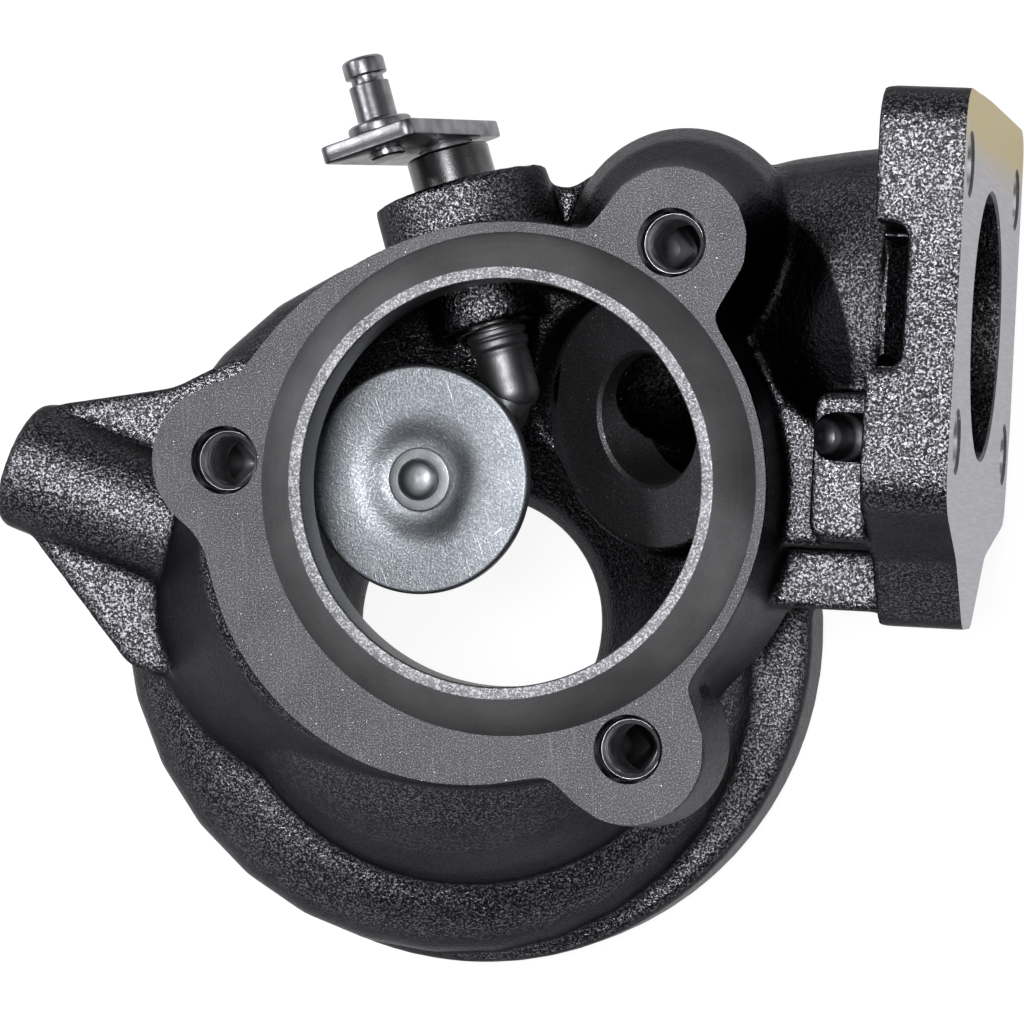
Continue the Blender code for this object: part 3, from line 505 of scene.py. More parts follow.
def cast_iron():
    """Sand-cast iron: near black, with a coarse grain in its bumps, and painted glints: pale grains in its
    colour that show where the surface faces up towards the lights.
    """
    material, tree, shader, vector = metal("cast_iron")
    coarse = noise(tree, vector, 0.8, 2.0, 0.6)
    fine = noise(tree, vector, 0.34, 2.0, 0.7)
    # Painted glints: pale grains in the colour, fading out as the surface turns away from facing up.
    surface = add(tree, "ShaderNodeNewGeometry").outputs["Normal"]
    painted_glint_facing = ramp(tree, split(tree, surface)[2], 0.5, 0.97, 0.05, 1.0)
    painted_glints = calculated(tree, "MULTIPLY", ramp(tree, fine, 0.49, 0.61), painted_glint_facing)
    dark = patchy(tree, vector, 14.0, 0.55, "#29292b", "#363638", 0.35)
    iron_with_painted_glints = mix(tree, painted_glints, dark, linear("#a2a2a9"))
    # Painted shade: the valley is painted near black.
    colour = mix(tree, painted_valley_shade(tree, vector), iron_with_painted_glints, linear("#1a191c"))
    roughness = ramp(tree, coarse, 0.3, 0.7, 0.36, 0.26)
    normal = bump(tree, fine, 1.0, 0.13, bump(tree, coarse, 1.0, 0.22))
    shader.inputs["Specular Tint"].default_value = linear("#bcbcbe")
    join(tree, shader, colour, roughness, normal)
    return material


def hole_iron_painted_shade():
    """The mouths of the outlet holes and the open hole in the pad: painted shade, dark as the inside of a
    hole in shadow, with the rings of a thread painted in as light crests and dark roots.
    The rings follow x + z, so that they show in holes along x and in holes along z."""
    material, tree, shader, vector = metal("hole_iron_painted_shade")
    x, _, z = split(tree, vector)
    turns = calculated(tree, "DIVIDE", calculated(tree, "ADD", x, z), THREAD_PITCH * MM)
    crests = calculated(tree, "PINGPONG", turns, 1.0)
    grain = noise(tree, vector, 0.5, 2.0, 0.6)
    # Painted shade and glints: a dark hole colour, with lighter thread crests painted over it.
    colour = mix(tree, ramp(tree, crests, 0.5, 0.9), linear("#242426"), linear("#6e6e73"))
    roughness = ramp(tree, grain, 0.3, 0.7, 0.5, 0.4)
    join(tree, shader, colour, roughness, bump(tree, crests, 1.0, 0.4))
    return material


def machined_iron():
    """A milled or turned face on the casting: mid grey, with a fine grain, long faint cutter marks and a few
    painted glints, bright points in its colour."""
    material, tree, shader, vector = metal("machined_iron")
    grain = noise(tree, vector, 0.2, 2.0, 0.65)
    marks = noise(tree, stretched(tree, vector, (1.0, 0.06, 1.0), (0.0, 0.0, 0.12)), 0.35, 2.0, 0.5)
    base = patchy(tree, vector, 11.0, 0.5, "#434345", "#505053")
    pitted = mix(tree, ramp(tree, grain, 0.5, 0.75), base, linear("#86868c"))
    marked = mix(tree, ramp(tree, marks, 0.6, 0.76, 0.0, 0.4), pitted, linear("#76767a"))
    # Painted glints: a few bright points in the colour stand for sparkle.
    painted_sparkles = ramp(tree, noise(tree, vector, 0.4, 1.0, 0.5), 0.75, 0.79)
    colour = mix(tree, painted_sparkles, marked, linear("#d8d8dc"))
    roughness = ramp(tree, grain, 0.3, 0.7, 0.6, 0.5)
    normal = bump(tree, marks, 0.3, 0.05, bump(tree, grain, 0.8, 0.05))
    join(tree, shader, colour, roughness, normal)
    return material


def milled_iron():
    """The milled inlet face: pale and even, faintly straw-coloured towards its upper edge."""
    material, tree, shader, vector = metal("milled_iron")
    grain = noise(tree, vector, 0.3, 2.0, 0.6)
    marks = noise(tree, stretched(tree, vector, (1.0, 1.0, 0.05)), 0.4, 2.0, 0.5)
    edge = float(placed((INLET_FACE, INLET_TOP_EDGE, 0.0))[1])
    below = [edge - reach * MM for reach in STAIN_REACH]
    height = split(tree, vector)[1]
    stain = calculated(tree, "MULTIPLY", ramp(tree, height, *below), noise(tree, vector, 9.0, 3.0, 0.6))
    base = mix(tree, ramp(tree, marks, 0.4, 0.7), linear("#85828c"), linear("#97949e"))
    colour = mix(tree, ramp(tree, stain, 0.12, 0.4), base, linear("#a08a3e"))
    roughness = ramp(tree, grain, 0.3, 0.7, 0.42, 0.34)
    normal = bump(tree, marks, 0.2, 0.04, bump(tree, grain, 0.25, 0.03))
    join(tree, shader, colour, roughness, normal)
    return material


def turned_iron(name, dark, light, roughness, ring_mm, strength, speckle):
    """A turned surface of the outlet: fine rings about its axis, and a pale speckle."""
    material, tree, shader, vector = metal(name)
    x, y, z = split(tree, measured_from(tree, vector, (*OUTLET, OUTLET_FACE)))
    radius = length(tree, add(tree, "ShaderNodeCombineXYZ", {"X": x, "Y": y}).outputs["Vector"])
    section = add(tree, "ShaderNodeCombineXYZ", {"X": radius, "Y": z}).outputs["Vector"]
    cuts = noise(tree, section, ring_mm, 3.0, 0.6)
    grain = noise(tree, vector, 0.35, 2.0, 0.6)
    fine = noise(tree, vector, 0.3, 2.0, 0.7)
    base = patchy(tree, vector, 6.0, 0.5, dark, light)
    ringed = mix(tree, ramp(tree, cuts, 0.4, 0.75, 0.0, 0.5), base, linear(light))
    colour = mix(tree, ramp(tree, fine, 0.48, 0.62, 0.0, speckle), ringed, linear("#c4c4c8"))
    rough = ramp(tree, grain, 0.3, 0.7, roughness + 0.06, roughness - 0.04)
    normal = bump(tree, grain, 0.25, 0.03, bump(tree, cuts, strength, 0.04))
    join(tree, shader, colour, rough, normal)
    return material


def valve_steel():
    """The flap's bluish steel: a fine stipple and short scratches in several directions."""
    material, tree, shader, vector = metal("valve_steel")
    grain = noise(tree, vector, 0.32, 2.0, 0.65)
    scratches = 0.0
    for turn in (0.35, 1.25, 2.3):
        lines = stretched(tree, vector, (1.0, 0.045, 1.0), (0.0, 0.0, turn))
        marks = ramp(tree, noise(tree, lines, 0.3, 2.0, 0.5), 0.66, 0.76)
        scratches = calculated(tree, "MAXIMUM", scratches, marks)
    base = patchy(tree, vector, 4.0, 0.55, "#80848a", "#93979d")
    stippled = mix(tree, ramp(tree, grain, 0.45, 0.7, 0.0, 0.7), base, linear("#b8bdc4"))
    colour = mix(tree, scratches, stippled, linear("#c8ccd2"))
    roughness = ramp(tree, grain, 0.3, 0.7, 0.55, 0.42)
    normal = bump(tree, scratches, 0.5, 0.02, bump(tree, grain, 0.7, 0.08))
    join(tree, shader, colour, roughness, normal)
    return material


def turned_steel(name, dark, light, roughness):
    """Small turned and ground steel pieces: light grey, fine marks, clear highlights."""
    material, tree, shader, vector = metal(name)
    grain = noise(tree, vector, 0.25, 2.0, 0.6)
    patches = ramp(tree, noise(tree, vector, 3.0, 3.0, 0.55), 0.3, 0.7)
    colour = mix(tree, patches, linear(dark), linear(light))
    rough = ramp(tree, patches, 0.0, 1.0, roughness + 0.06, roughness - 0.05)
    join(tree, shader, colour, rough, bump(tree, grain, 0.6, 0.04))
    return material


IRON = cast_iron()
DRILLED = hole_iron_painted_shade()
MACHINED = machined_iron()
MILLED = milled_iron()
CONE = turned_iron("outlet_cone", "#6a6a6c", "#7c7c7e", 0.55, ring_mm=0.5, strength=0.12, speckle=0.06)
LIP = turned_iron("outlet_lip", "#4a4a4e", "#6c6c70", 0.5, ring_mm=0.25, strength=0.5, speckle=0.5)
# Painted shade: the bore's inside gets a darker iron than the cone.
BORE_PAINTED_SHADE = turned_iron("outlet_bore_painted_shade", "#2a2a2c", "#3c3c3e", 0.4, ring_mm=0.4, strength=0.2, speckle=0.03)
VALVE = valve_steel()
STEEL = turned_steel("turned_steel", "#606063", "#88888c", 0.32)
RIVET_STEEL = turned_steel("rivet_steel", "#7e8185", "#9ea1a5", 0.42)
BUSH_STEEL = turned_steel("bush_steel", "#48484a", "#606062", 0.27)
WORN_STEEL = turned_steel("worn_steel", "#67676a", "#8e8e92", 0.46)
THREADED = turned_steel("thread", "#8c8c90", "#c0c0c4", 0.4)


# The cast body.
# One grey-iron sand casting: scroll, chamber, outlet and inlet flanges, bosses and webs. The CAD solid
# gets stock on its machined faces, its cast edges are rounded, and the machined faces are then cut again.

VOXEL = 0.62
RELAX_ROUNDS = 6
STOCK = 1.0
EAR_PLUG = (5.4, 19.0)
INLET_PLUG = (5.2, INLET_PLATE - 0.3)
SEAT_STOCK = 0.7
CAST_TRIANGLES = 165000
CAST_SHARP = 38.0
CAST_MATERIALS = (IRON, MACHINED, MILLED, DRILLED)
IRON_SLOT, MACHINED_SLOT, MILLED_SLOT, DRILLED_SLOT = range(4)
NEAR_AXIS = 0.2
BORDER_DEPTH = 3.4


def as_cutter(made, slot):
    """Gives a mesh the casting's materials, and all its faces the one that the cut leaves."""
    for material in CAST_MATERIALS:
        made.data.materials.append(material)
    made.data.polygons.foreach_set("material_index", np.full(len(made.data.polygons), slot, np.int32))
    return made


def turned_cutter(name, corners, place, steps=64, slot=MACHINED_SLOT):
    """A turned cutter of (radius, height) corners."""
    corners = [(radius, height, 0.0) for radius, height in corners]
    return as_cutter(turned(name, corners, place, None, steps), slot)


def prism_cutter(name, outline, low, high, slot, lower=None):
    """An (x, y) outline, run anticlockwise, between two heights of the turbine's frame. `lower` is the
    outline at the bottom where it differs."""
    count = len(outline)
    foot = np.c_[np.array(lower or outline), np.full(count, low)]
    points = np.concatenate([foot, np.c_[np.array(outline), np.full(count, high)]])
    faces = end_faces(2, count)
    for number in range(count):
        following = (number + 1) % count
        faces.append((number, following, count + following, count + number))
    return as_cutter(mesh_object(name, points, faces, None), slot)


def box_cutter(name, low, high, slot=MACHINED_SLOT):
    """A box between two corners, in the turbine's frame."""
    (x, y, z), (a, b, c) = low, high
    return prism_cutter(name, [(x, y), (a, y), (a, b), (x, b)], z, c, slot)


def notch_outline(near, right, far):
    """The sunk border along three sides of the notch, as wide as given at each of them."""
    (left, back), (low, high) = NOTCH_X, NOTCH_Y
    outer = [(left, low), (back, low), (back, high), (left, high)]
    inner = [(left, high - far), (back - right, high - far), (back - right, low + near), (left, low + near)]
    return outer + inner


def plug(name, radius, depth, height, place, steps=32):
    """A round stub that fills a hole or stands on a face, for the cutters to work on."""
    return turned(name, [(radius, -depth, 0.0), (radius, height, 0.0)], place, None, steps)


def with_stock():
    """A merged copy of the CAD casting, with its machined faces raised and its threaded holes plugged."""
    bm = bmesh.new()
    bm.from_mesh(frame["nodes"]["turbine_housing"].data)
    bmesh.ops.remove_doubles(bm, verts=bm.verts, dist=2e-6)
    mesh = bpy.data.meshes.new("casting")
    bm.to_mesh(mesh)
    bm.free()
    points = read_points(mesh) / MM - SHIFT
    points[np.abs(points[:, 2] - OUTLET_FACE) < 0.1, 2] += STOCK
    points[points[:, 0] > INLET_FACE - 0.1, 0] += STOCK
    points[points[:, 2] < 0.1, 2] -= STOCK
    mesh.vertices.foreach_set("co", placed(points).reshape(-1).astype(np.float32))
    body = bpy.data.objects.new("casting", mesh)
    bpy.context.scene.collection.objects.link(body)
    plugs = [plug("seat_stock", SEAT_RADIUS - 0.2, 1.0, SEAT_STOCK, seat_place(), 64)]
    for number, degrees in enumerate(EAR_DEGREES):
        plugs.append(plug(f"ear_plug_{number}", *EAR_PLUG, STOCK, ear_place(degrees)))
    for number, place in enumerate(inlet_hole_places()):
        plugs.append(plug(f"inlet_plug_{number}", *INLET_PLUG, STOCK, place))
    return body, plugs


def joined(body, others):
    """The body's mesh and the others' as one mesh of overlapping shells, which the remesh fuses."""
    bm = bmesh.new()
    for part in [body, *others]:
        bm.from_mesh(part.data)
    bm.to_mesh(body.data)
    bm.free()
    for part in others:
        bpy.data.objects.remove(part)


def relax(mesh, rounds, step=0.5):
    """Moves each point part of the way to the mean of its neighbours, which rounds the cast edges."""
    points = read_points(mesh)
    count = len(points)
    ends = np.empty(len(mesh.edges) * 2, np.int32)
    mesh.edges.foreach_get("vertices", ends)
    first, second = ends.reshape(-1, 2).T
    degree = np.bincount(first, minlength=count) + np.bincount(second, minlength=count)
    for _ in range(rounds):
        total = [
            np.bincount(first, points[second, k], count) + np.bincount(second, points[first, k], count)
            for k in range(3)
        ]
        points += step * (np.stack(total, axis=1) / degree[:, None] - points)
    mesh.vertices.foreach_set("co", points.reshape(-1).astype(np.float32))
    mesh.update()


def hole_cutters():
    """The threaded holes, each with the cone of the drill's tip at its end. The third hole of the inlet
    flange goes on into the pad, and the mouths of the outlet holes are wider than their threads."""
    made = []
    corners = [
        (NEAR_AXIS, -OUTLET_THREAD_END - 2.6),
        (THREAD_HOLE, -OUTLET_THREAD_END - 0.2),
        (THREAD_HOLE, -OUTLET_THREAD_START),
        (MOUTH_RADIUS, -MOUTH_DEPTH),
        (MOUTH_RADIUS, -0.4),
        (MOUTH_RADIUS + 0.5, 0.1),
    ]
    for number, degrees in enumerate(EAR_DEGREES):
        made.append(turned_cutter(f"ear_hole_{number}", corners, ear_place(degrees), slot=DRILLED_SLOT))
    for number, place in enumerate(inlet_hole_places()):
        depth = INLET_FACE - INLET_DRILL_END if number == 2 else INLET_PLATE + 3.0
        corners = [
            (NEAR_AXIS, -depth - 2.0),
            (THREAD_CORE, -depth),
            (THREAD_CORE, -INLET_PLATE),
            (THREAD_HOLE, -INLET_PLATE),
            (THREAD_HOLE, -0.4),
            (THREAD_HOLE + 0.5, 0.1),
        ]
        made.append(turned_cutter(f"inlet_hole_{number}", corners, place))
    return made


def pad_cutters():
    """The open half of the drilled hole on the pad, and the notch with its sunk border beside it."""
    tip = INLET_DRILL_END - INLET_FACE
    corners = [
        (NEAR_AXIS, tip - 1.4),
        (1.6, tip - 1.0),
        (2.7, tip),
        (3.2, tip + 1.2),
        (THREAD_CORE, tip + 2.4),
        (THREAD_CORE, -INLET_PLATE - 0.2),
    ]
    drill = inlet_place(INLET_HOLES[0] - INLET_HOLE_PITCH[0] / 2, PAD_TOP - 0.5)
    pocket = turned_cutter("pad_drill", corners, drill, slot=DRILLED_SLOT)
    low = (NOTCH_X[0], NOTCH_Y[0], NOTCH_FLOOR)
    high = (NOTCH_X[1], NOTCH_Y[1], 90.0)
    notch = box_cutter("notch_cut", low, high, IRON_SLOT)
    wide = notch_outline(near=2.0, right=4.2, far=3.2)
    narrow = notch_outline(near=0.2, right=0.2, far=0.2)
    bottom = NOTCH_FLOOR - BORDER_DEPTH
    border = prism_cutter("notch_border", wide, bottom, NOTCH_FLOOR + 0.1, IRON_SLOT, narrow)
    return [pocket, notch, border]


def face_cutters():
    """The flat and turned faces. The boxes reach well past the casting, but the one for the outlet face
    stops short of the inlet flange."""
    outlet = Matrix.Translation((*OUTLET, OUTLET_FACE))
    seat = seat_place()
    sleeve = LIP_RADIUS + 0.5
    land = SEAT_RADIUS + 0.3
    port = [(PORT_RADIUS, -9.0), (PORT_RADIUS, -0.5), (PORT_RADIUS + 0.6, 0.1)]
    inlet_port = [(INLET_PORT_RADIUS, -9.0), (INLET_PORT_RADIUS, -0.4), (INLET_PORT_RADIUS + 0.5, 0.1)]
    return [
        box_cutter("face_cut", (-45.0, -45.0, OUTLET_FACE), (52.0, 85.0, 90.0)),
        box_cutter("inlet_cut", (INLET_FACE, -20.0, -10.0), (90.0, 95.0, 95.0), MILLED_SLOT),
        box_cutter("rear_cut", (-95.0, -75.0, -9.0), (95.0, 95.0, 0.0)),
        turned_cutter("lip_seat_cut", [(CONE_RADIUS, -1.0), (CONE_RADIUS, 1.0)], outlet, 160),
        turned_cutter("sleeve_cut", [(sleeve, -3.0), (sleeve, 0.0)], outlet, 160),
        turned_cutter("seat_cut", [(land, 0.0), (land, 1.6)], seat, 128),
        turned_cutter("port_cut", port, seat, 96),
        turned_cutter("inlet_port_cut", inlet_port, inlet_place(*INLET_PORT), 128),
    ]


def cast_body():
    """The casting as it is shown: stock added, cast edges rounded, triangles thinned, then machined."""
    body, plugs = with_stock()
    joined(body, plugs)
    remesh = body.modifiers.new("remesh", "REMESH")
    remesh.mode = "VOXEL"
    remesh.voxel_size = VOXEL * MM
    mesh = modified(body)
    relax(mesh, RELAX_ROUNDS)
    thin = body.modifiers.new("decimate", "DECIMATE")
    thin.ratio = CAST_TRIANGLES / (2.0 * len(mesh.polygons))
    mesh = modified(body)
    mesh.materials.clear()
    for material in CAST_MATERIALS:
        mesh.materials.append(material)
    cutters = bpy.data.collections.new("machining")
    bpy.context.scene.collection.children.link(cutters)
    for made in face_cutters() + hole_cutters() + pad_cutters():
        bpy.context.scene.collection.objects.unlink(made)
        cutters.objects.link(made)
    cut = body.modifiers.new("machining", "BOOLEAN")
    cut.operation = "DIFFERENCE"
    cut.operand_type = "COLLECTION"
    cut.collection = cutters
    cut.solver = "MANIFOLD"
    mesh = modified(body)
    for made in list(cutters.objects):
        bpy.data.objects.remove(made)
    bpy.data.collections.remove(cutters)
    mesh.shade_smooth()
    mesh.set_sharp_from_angle(angle=math.radians(CAST_SHARP))
    return body


casting = cast_body()
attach(casting, "housing")
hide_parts("turbine_housing")


# Outlet lip and cone.
# The raised lip, the cone that the exhaust pipe's gasket seats on, and the bore inside it, all turned
# in the casting's own iron. The lip's top is a narrow land, and the bore is painted darker as painted shade.

outlet_axes = Matrix.Translation((*OUTLET, 0.0))
sleeve = LIP_RADIUS + 0.45
lip_corners = [
    (CONE_RADIUS - 0.02, OUTLET_FACE - 0.95, 0.0),
    (CONE_RADIUS - 0.02, OUTLET_FACE + 0.02, 0.0),
    (LIP_RADIUS + 0.1, LIP_TOP - 0.12, 0.0),
    (LIP_RADIUS, LIP_TOP, 0.12),
    (OUTLET_BORE + 0.12, LIP_TOP, 0.12),
    (OUTLET_BORE, LIP_TOP - 0.35, 0.12),
    (OUTLET_BORE, OUTLET_FACE - 2.9, 0.3),
    (sleeve, OUTLET_FACE - 2.95, 0.0),
    (sleeve, OUTLET_FACE - 0.95, 0.0),
]
outlet_lip = turned("outlet_lip", lip_corners, outlet_axes, CONE, 256, closed=True)
outlet_lip.data.materials.append(LIP)
outlet_lip.data.materials.append(BORE_PAINTED_SHADE)


def paint_lip():
    """The land on top takes a finish of its own, and the bore a darker colour that is painted shade."""
    mesh = outlet_lip.data
    centres = np.empty(len(mesh.polygons) * 3, np.float32)
    mesh.polygons.foreach_get("center", centres)
    centres = centres.reshape(-1, 3) / MM - SHIFT
    radius = np.hypot(centres[:, 0] - OUTLET[0], centres[:, 1] - OUTLET[1])
    index = np.zeros(len(radius), np.int32)
    index[radius < LIP_RADIUS + 0.02] = 1
    index[(radius < OUTLET_BORE + 0.1) & (centres[:, 2] < LIP_TOP - 0.2)] = 2
    mesh.polygons.foreach_set("material_index", index)


paint_lip()
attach(outlet_lip, "housing")


# Threads.
# The threads of the studs, cut in the three outlet ears and in the four holes of the inlet flange. Each
# is a sleeve in a hole that is drilled a little wider.

for number, degrees in enumerate(EAR_DEGREES):
    start = ear_place(degrees) @ Matrix.Translation((0.0, 0.0, -OUTLET_THREAD_START))
    depth = OUTLET_THREAD_END - OUTLET_THREAD_START
    ear_thread = thread(f"outlet_thread_{number + 1}", depth, start, THREADED)
    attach(ear_thread, "housing")
for number, place in enumerate(inlet_hole_places()):
    start = place @ Matrix.Translation((0.0, 0.0, -INLET_THREAD_START))
    depth = INLET_PLATE - 2 * INLET_THREAD_START
    inlet_thread = thread(f"inlet_thread_{number + 1}", depth, start, THREADED)
    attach(inlet_thread, "housing")


# Wastegate bush.
# A turned steel bush pressed into the hinge boss, standing out of it at both ends.

hinge_axes = hinge_place()
bore = SHAFT_RADIUS + SHAFT_CLEARANCE
bush_corners = [
    (bore, BUSH_IN, 0.2),
    (BUSH_RADIUS - 0.1, BUSH_IN, 0.4),
    (BUSH_RADIUS, BUSH_IN - 1.2, 0.2),
    (BUSH_RADIUS, -22.0, 0.2),
    (BUSH_RADIUS, -BUSH_OUT + 0.35, 0.1),
    (BUSH_RADIUS - 0.35, -BUSH_OUT, 0.1),
    (bore, -BUSH_OUT, 0.2),
]
bush = turned("bush", bush_corners, hinge_axes, BUSH_STEEL, 128, closed=True)
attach(bush, "housing")
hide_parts("wastegate_bush")


# Wastegate arm.
# A forged steel arm: the shaft in the bush, a grooved collar, the barrel, and a bent link to the eye
# that holds the flap. The stud through the flap ends in a riveted head.

COLLAR_RADIUS = 4.2
BARREL_RADIUS = 3.85
STUD_RADIUS = 2.3
EYE_RADIUS = 5.3
LINK_POINTS = 49
EYE_BACK = -VALVE_THICKNESS - PIECE_GAP
crank_top = BUSH_OUT + CRANK_GAP + CRANK_THICKNESS
collar = BUSH_IN + PIECE_GAP
shaft_corners = [
    (0.0, -crank_top - 0.6, 0.0),
    (SHAFT_RADIUS - 0.4, -crank_top - 0.6, 0.2),
    (SHAFT_RADIUS, -crank_top - 0.2, 0.2),
    (SHAFT_RADIUS, collar, 0.0),
    (COLLAR_RADIUS, collar, 0.3),
    (COLLAR_RADIUS, -0.75, 0.15),
    (BARREL_RADIUS, -0.55, 0.15),
    (BARREL_RADIUS, -0.25, 0.15),
    (COLLAR_RADIUS, -0.05, 0.15),
    (COLLAR_RADIUS, 0.85, 0.3),
    (BARREL_RADIUS - 0.15, 1.35, 0.3),
    (BARREL_RADIUS, 2.2, 0.5),
    (BARREL_RADIUS, 8.0, 0.8),
    (3.0, 9.6, 0.8),
    (0.0, 9.9, 0.0),
]
arm_shaft = turned("arm_shaft", shaft_corners, hinge_axes, WORN_STEEL)


def link_line():
    """The centre line of the link, a cubic from the barrel's end to the side of the eye."""
    to_hinge = hinge_axes.inverted() @ valve_place(OPEN)
    start = Vector((0.0, 0.0, 4.0))
    pull = Vector((0.0, 0.0, 11.0))
    end = to_hinge @ Vector((0.0, 0.0, EYE_BACK - 2.9))
    inward = (end - Vector((0.0, 0.0, end.z))).normalized()
    bend = end - inward * 7.0
    bend.z = end.z - 0.5
    t = np.linspace(0.0, 1.0, LINK_POINTS)[:, None]
    u = 1.0 - t
    line = np.array(start) * u**3 + np.array(pull) * 3 * u * u * t
    return line + np.array(bend) * 3 * u * t * t + np.array(end) * t**3


link_radii = BARREL_RADIUS - 0.3 - 0.7 * np.linspace(0.0, 1.0, LINK_POINTS)
arm_link = swept("arm_link", link_line(), link_radii, hinge_axes, WORN_STEEL)
valve_axes = valve_place(OPEN)
eye_corners = [
    (0.0, EYE_BACK - 5.2, 0.0),
    (4.0, EYE_BACK - 5.2, 0.8),
    (EYE_RADIUS, EYE_BACK - 3.9, 1.0),
    (EYE_RADIUS, EYE_BACK - 0.6, 0.4),
    (EYE_RADIUS - 0.6, EYE_BACK, 0.3),
    (STUD_RADIUS, EYE_BACK, 0.0),
    (STUD_RADIUS, EYE_BACK + 0.1, 0.0),
    (0.0, EYE_BACK + 0.1, 0.0),
]
arm_eye = turned("arm_eye", eye_corners, valve_axes, WORN_STEEL)
washer_low = -DISH_DEPTH + PIECE_GAP
washer_high = washer_low + 0.8
rivet_low = washer_high + PIECE_GAP
rivet_corners = [
    (0.0, EYE_BACK - 0.5, 0.0),
    (STUD_RADIUS, EYE_BACK - 0.5, 0.0),
    (STUD_RADIUS, rivet_low, 0.0),
    (2.85, rivet_low, 0.15),
    (2.95, rivet_low + 0.35, 0.3),
    (2.55, rivet_low + 0.95, 0.6),
    (1.5, rivet_low + 1.35, 0.8),
    (0.0, rivet_low + 1.46, 0.0),
]
rivet = turned("valve_rivet", rivet_corners, valve_axes, RIVET_STEEL)
for piece in (arm_shaft, arm_link, arm_eye, rivet):
    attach(piece, "valve_arm")
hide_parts("wastegate_arm")


# Valve flap.
# A turned disc of heat-resisting steel with a dished middle, held by the arm's stud, and free to turn
# and settle on its seat.

disc_corners = [
    (2.55, -VALVE_THICKNESS, 0.2),
    (VALVE_RADIUS - 0.75, -VALVE_THICKNESS, 0.3),
    (VALVE_RADIUS, -VALVE_THICKNESS + 0.7, 0.4),
    (VALVE_RADIUS, -0.35, 0.3),
    (VALVE_RADIUS - 0.35, 0.0, 0.3),
    (8.7, 0.0, 1.6),
    (5.2, -DISH_DEPTH, 1.2),
    (2.55, -DISH_DEPTH, 0.2),
]
disc = turned("flap", disc_corners, valve_axes, VALVE, 192, closed=True)
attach(disc, "valve")
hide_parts("valve_disc")


# Valve washer.
# The flat steel washer between the flap and the riveted head, fixed on the arm's stud.

washer_corners = [
    (2.5, washer_low, 0.1),
    (4.45, washer_low, 0.15),
    (4.45, washer_high, 0.25),
    (2.5, washer_high, 0.2),
]
washer = turned("washer", washer_corners, valve_axes, RIVET_STEEL, closed=True)
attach(washer, "valve_arm")
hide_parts("valve_washer")


# Crank lever.
# A stamped steel plate with rounded corners, welded on the outer end of the arm's shaft.

PIN_SHANK = 2.0
under = BUSH_OUT + CRANK_GAP
lever_outline = [
    (0.0, 0.0, 1.8),
    (CRANK_LENGTH, 0.0, 1.8),
    (CRANK_LENGTH, CRANK_WIDTH, 1.8),
    (0.0, CRANK_WIDTH, 1.8),
]
lever_holes = [(*CRANK_SHAFT, SHAFT_RADIUS + PIECE_GAP), (*CRANK_PIN, PIN_SHANK + PIECE_GAP)]
lever_axes = crank_place(0.0, 0.0, under)
lever = plate("lever", lever_outline, 0.0, CRANK_THICKNESS, lever_axes, STEEL, lever_holes)
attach(lever, "valve_arm")
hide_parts("crank_lever")


# Crank pin.
# A turned pin with a clip groove, riveted through the lever, that the actuator's rod takes hold of.

pin_base = CRANK_THICKNESS + PIECE_GAP
pin_corners = [
    (0.0, -1.05, 0.0),
    (PIN_SHANK, -1.05, 0.1),
    (2.5, -0.85, 0.1),
    (2.5, -0.25, 0.0),
    (PIN_SHANK, -0.25, 0.0),
    (PIN_SHANK, pin_base, 0.0),
    (4.45, pin_base, 0.15),
    (4.45, pin_base + 1.2, 0.15),
    (4.15, pin_base + 1.5, 0.2),
    (2.8, pin_base + 1.5, 0.4),
    (2.8, pin_base + 6.9, 0.15),
    (2.25, pin_base + 6.95, 0.1),
    (2.25, pin_base + 8.05, 0.1),
    (2.95, pin_base + 8.1, 0.15),
    (2.95, pin_base + 10.2, 0.15),
    (2.55, pin_base + 10.6, 0.2),
    (0.0, pin_base + 10.6, 0.0),
]
pin = turned("pin", pin_corners, crank_place(*CRANK_PIN, under), STEEL)
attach(pin, "valve_arm")
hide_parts("crank_pin")


# Floor, light and camera.
# A white floor, four soft lights and the photograph's view. A light is its name, its place in
# millimetres, its width in metres and its power in watts.

FLOOR_SIZE = 8.0
FLOOR_GREY = 0.16
FLOOR_GLOW = 0.92
WORLD_STRENGTH = 0.1
LIGHTS_AIM = (8.0, 15.0, 40.0)
LIGHTS = (
    ("key_light", (30.0, 70.0, 930.0), 0.26, 6.0),
    ("low_light", (-430.0, -430.0, 700.0), 0.22, 1.0),
    ("left_light", (-620.0, 170.0, 580.0), 0.16, 2.6),
    ("right_light", (820.0, 160.0, 420.0), 0.5, 2.0),
)
CAMERA_PLACE = (146.8, 11.8, 728.3)
CAMERA_ACROSS = (0.979, 0.0511, -0.1976)
CAMERA_BACK = (0.198, -0.0073, 0.9801)
LENS = 175.78
SENSOR = 36.0


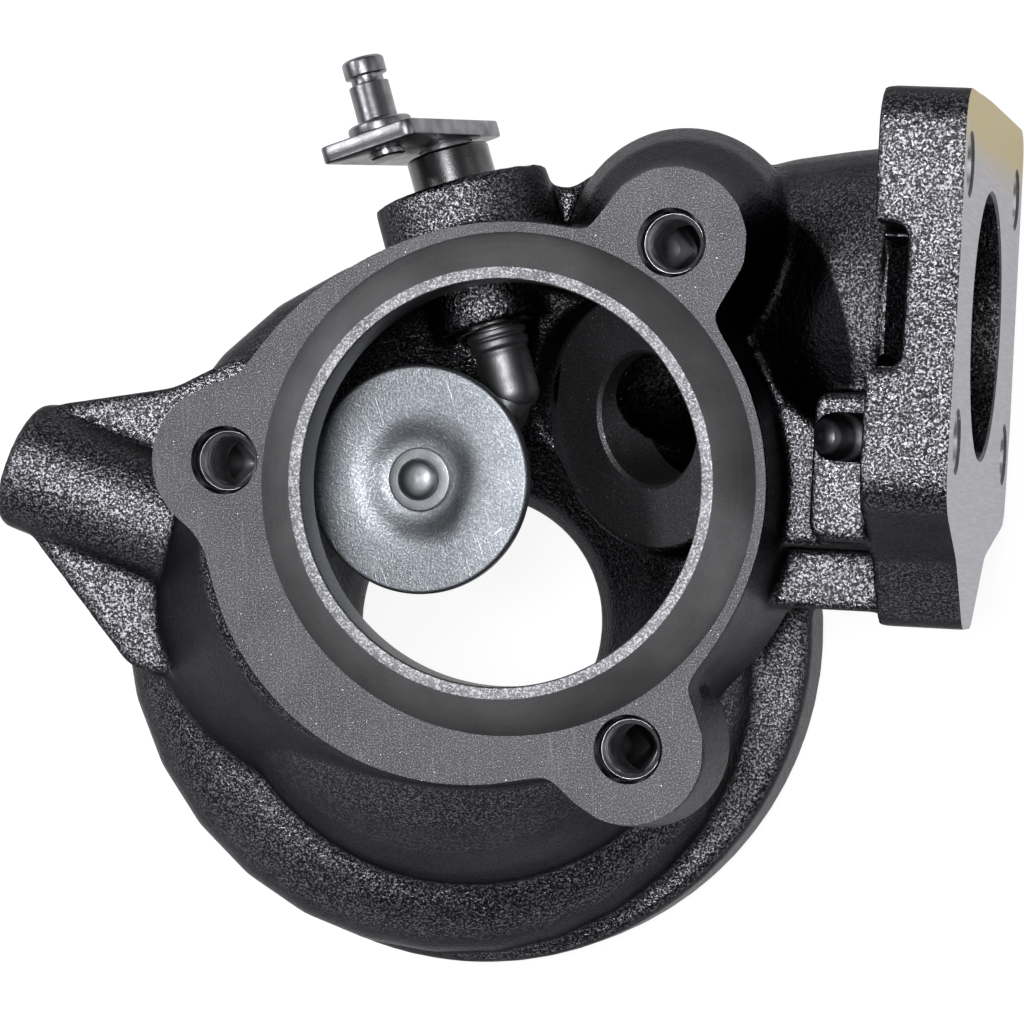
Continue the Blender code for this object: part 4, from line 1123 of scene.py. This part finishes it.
def white_floor():
    """A floor that is white to the camera and in reflections, and that still takes a soft shadow."""
    material = bpy.data.materials.new("floor")
    material.use_nodes = True
    tree = material.node_tree
    tree.nodes.clear()
    output = add(tree, "ShaderNodeOutputMaterial")
    matt = add(tree, "ShaderNodeBsdfDiffuse", {"Color": (FLOOR_GREY, FLOOR_GREY, FLOOR_GREY, 1.0)})
    path = add(tree, "ShaderNodeLightPath")
    seen = path.outputs["Is Camera Ray"]
    for name in ("Is Glossy Ray", "Is Transmission Ray"):
        seen = calculated(tree, "MAXIMUM", seen, path.outputs[name])
    strength = calculated(tree, "MULTIPLY", seen, FLOOR_GLOW)
    glow = add(tree, "ShaderNodeEmission", {"Color": (1.0, 1.0, 1.0, 1.0), "Strength": strength})
    both = add(tree, "ShaderNodeAddShader", {0: matt.outputs[0], 1: glow.outputs[0]})
    tree.links.new(both.outputs[0], output.inputs["Surface"])
    half = FLOOR_SIZE / 2
    corners = [(-half, -half, 0.0), (half, -half, 0.0), (half, half, 0.0), (-half, half, 0.0)]
    mesh = bpy.data.meshes.new("floor")
    mesh.from_pydata(corners, [], [(0, 1, 2, 3)])
    mesh.materials.append(material)
    floor = bpy.data.objects.new("floor", mesh)
    bpy.context.scene.collection.objects.link(floor)


def area_light(name, place, width, power):
    """A square soft light aimed at the middle of the part."""
    light = bpy.data.lights.new(name, "AREA")
    light.size = width
    light.energy = power
    lamp = bpy.data.objects.new(name, light)
    lamp.location = placed(place)
    aim = Vector(placed(LIGHTS_AIM)) - lamp.location
    lamp.rotation_euler = aim.to_track_quat("-Z", "Y").to_euler()
    bpy.context.scene.collection.objects.link(lamp)


def studio():
    world = bpy.data.worlds.new("studio")
    bpy.context.scene.world = world
    world.use_nodes = True
    background = world.node_tree.nodes["Background"]
    background.inputs["Color"].default_value = (1.0, 1.0, 1.0, 1.0)
    background.inputs["Strength"].default_value = WORLD_STRENGTH
    for light in LIGHTS:
        area_light(*light)


def camera():
    """The photograph's view, a long lens over the outlet, from a fit to the bore, lip and inlet holes."""
    lens = bpy.data.cameras.new("camera")
    lens.lens = LENS
    lens.sensor_width = SENSOR
    lens.clip_end = 20.0
    back = Vector(CAMERA_BACK).normalized()
    up = back.cross(Vector(CAMERA_ACROSS)).normalized()
    matrix = Matrix((up.cross(back), up, back)).transposed().to_4x4()
    matrix.translation = Vector(placed(CAMERA_PLACE))
    viewer = bpy.data.objects.new("camera", lens)
    viewer.matrix_world = matrix
    bpy.context.scene.collection.objects.link(viewer)
    bpy.context.scene.camera = viewer


bpy.context.scene.view_settings.view_transform = "Standard"
white_floor()
studio()
camera()
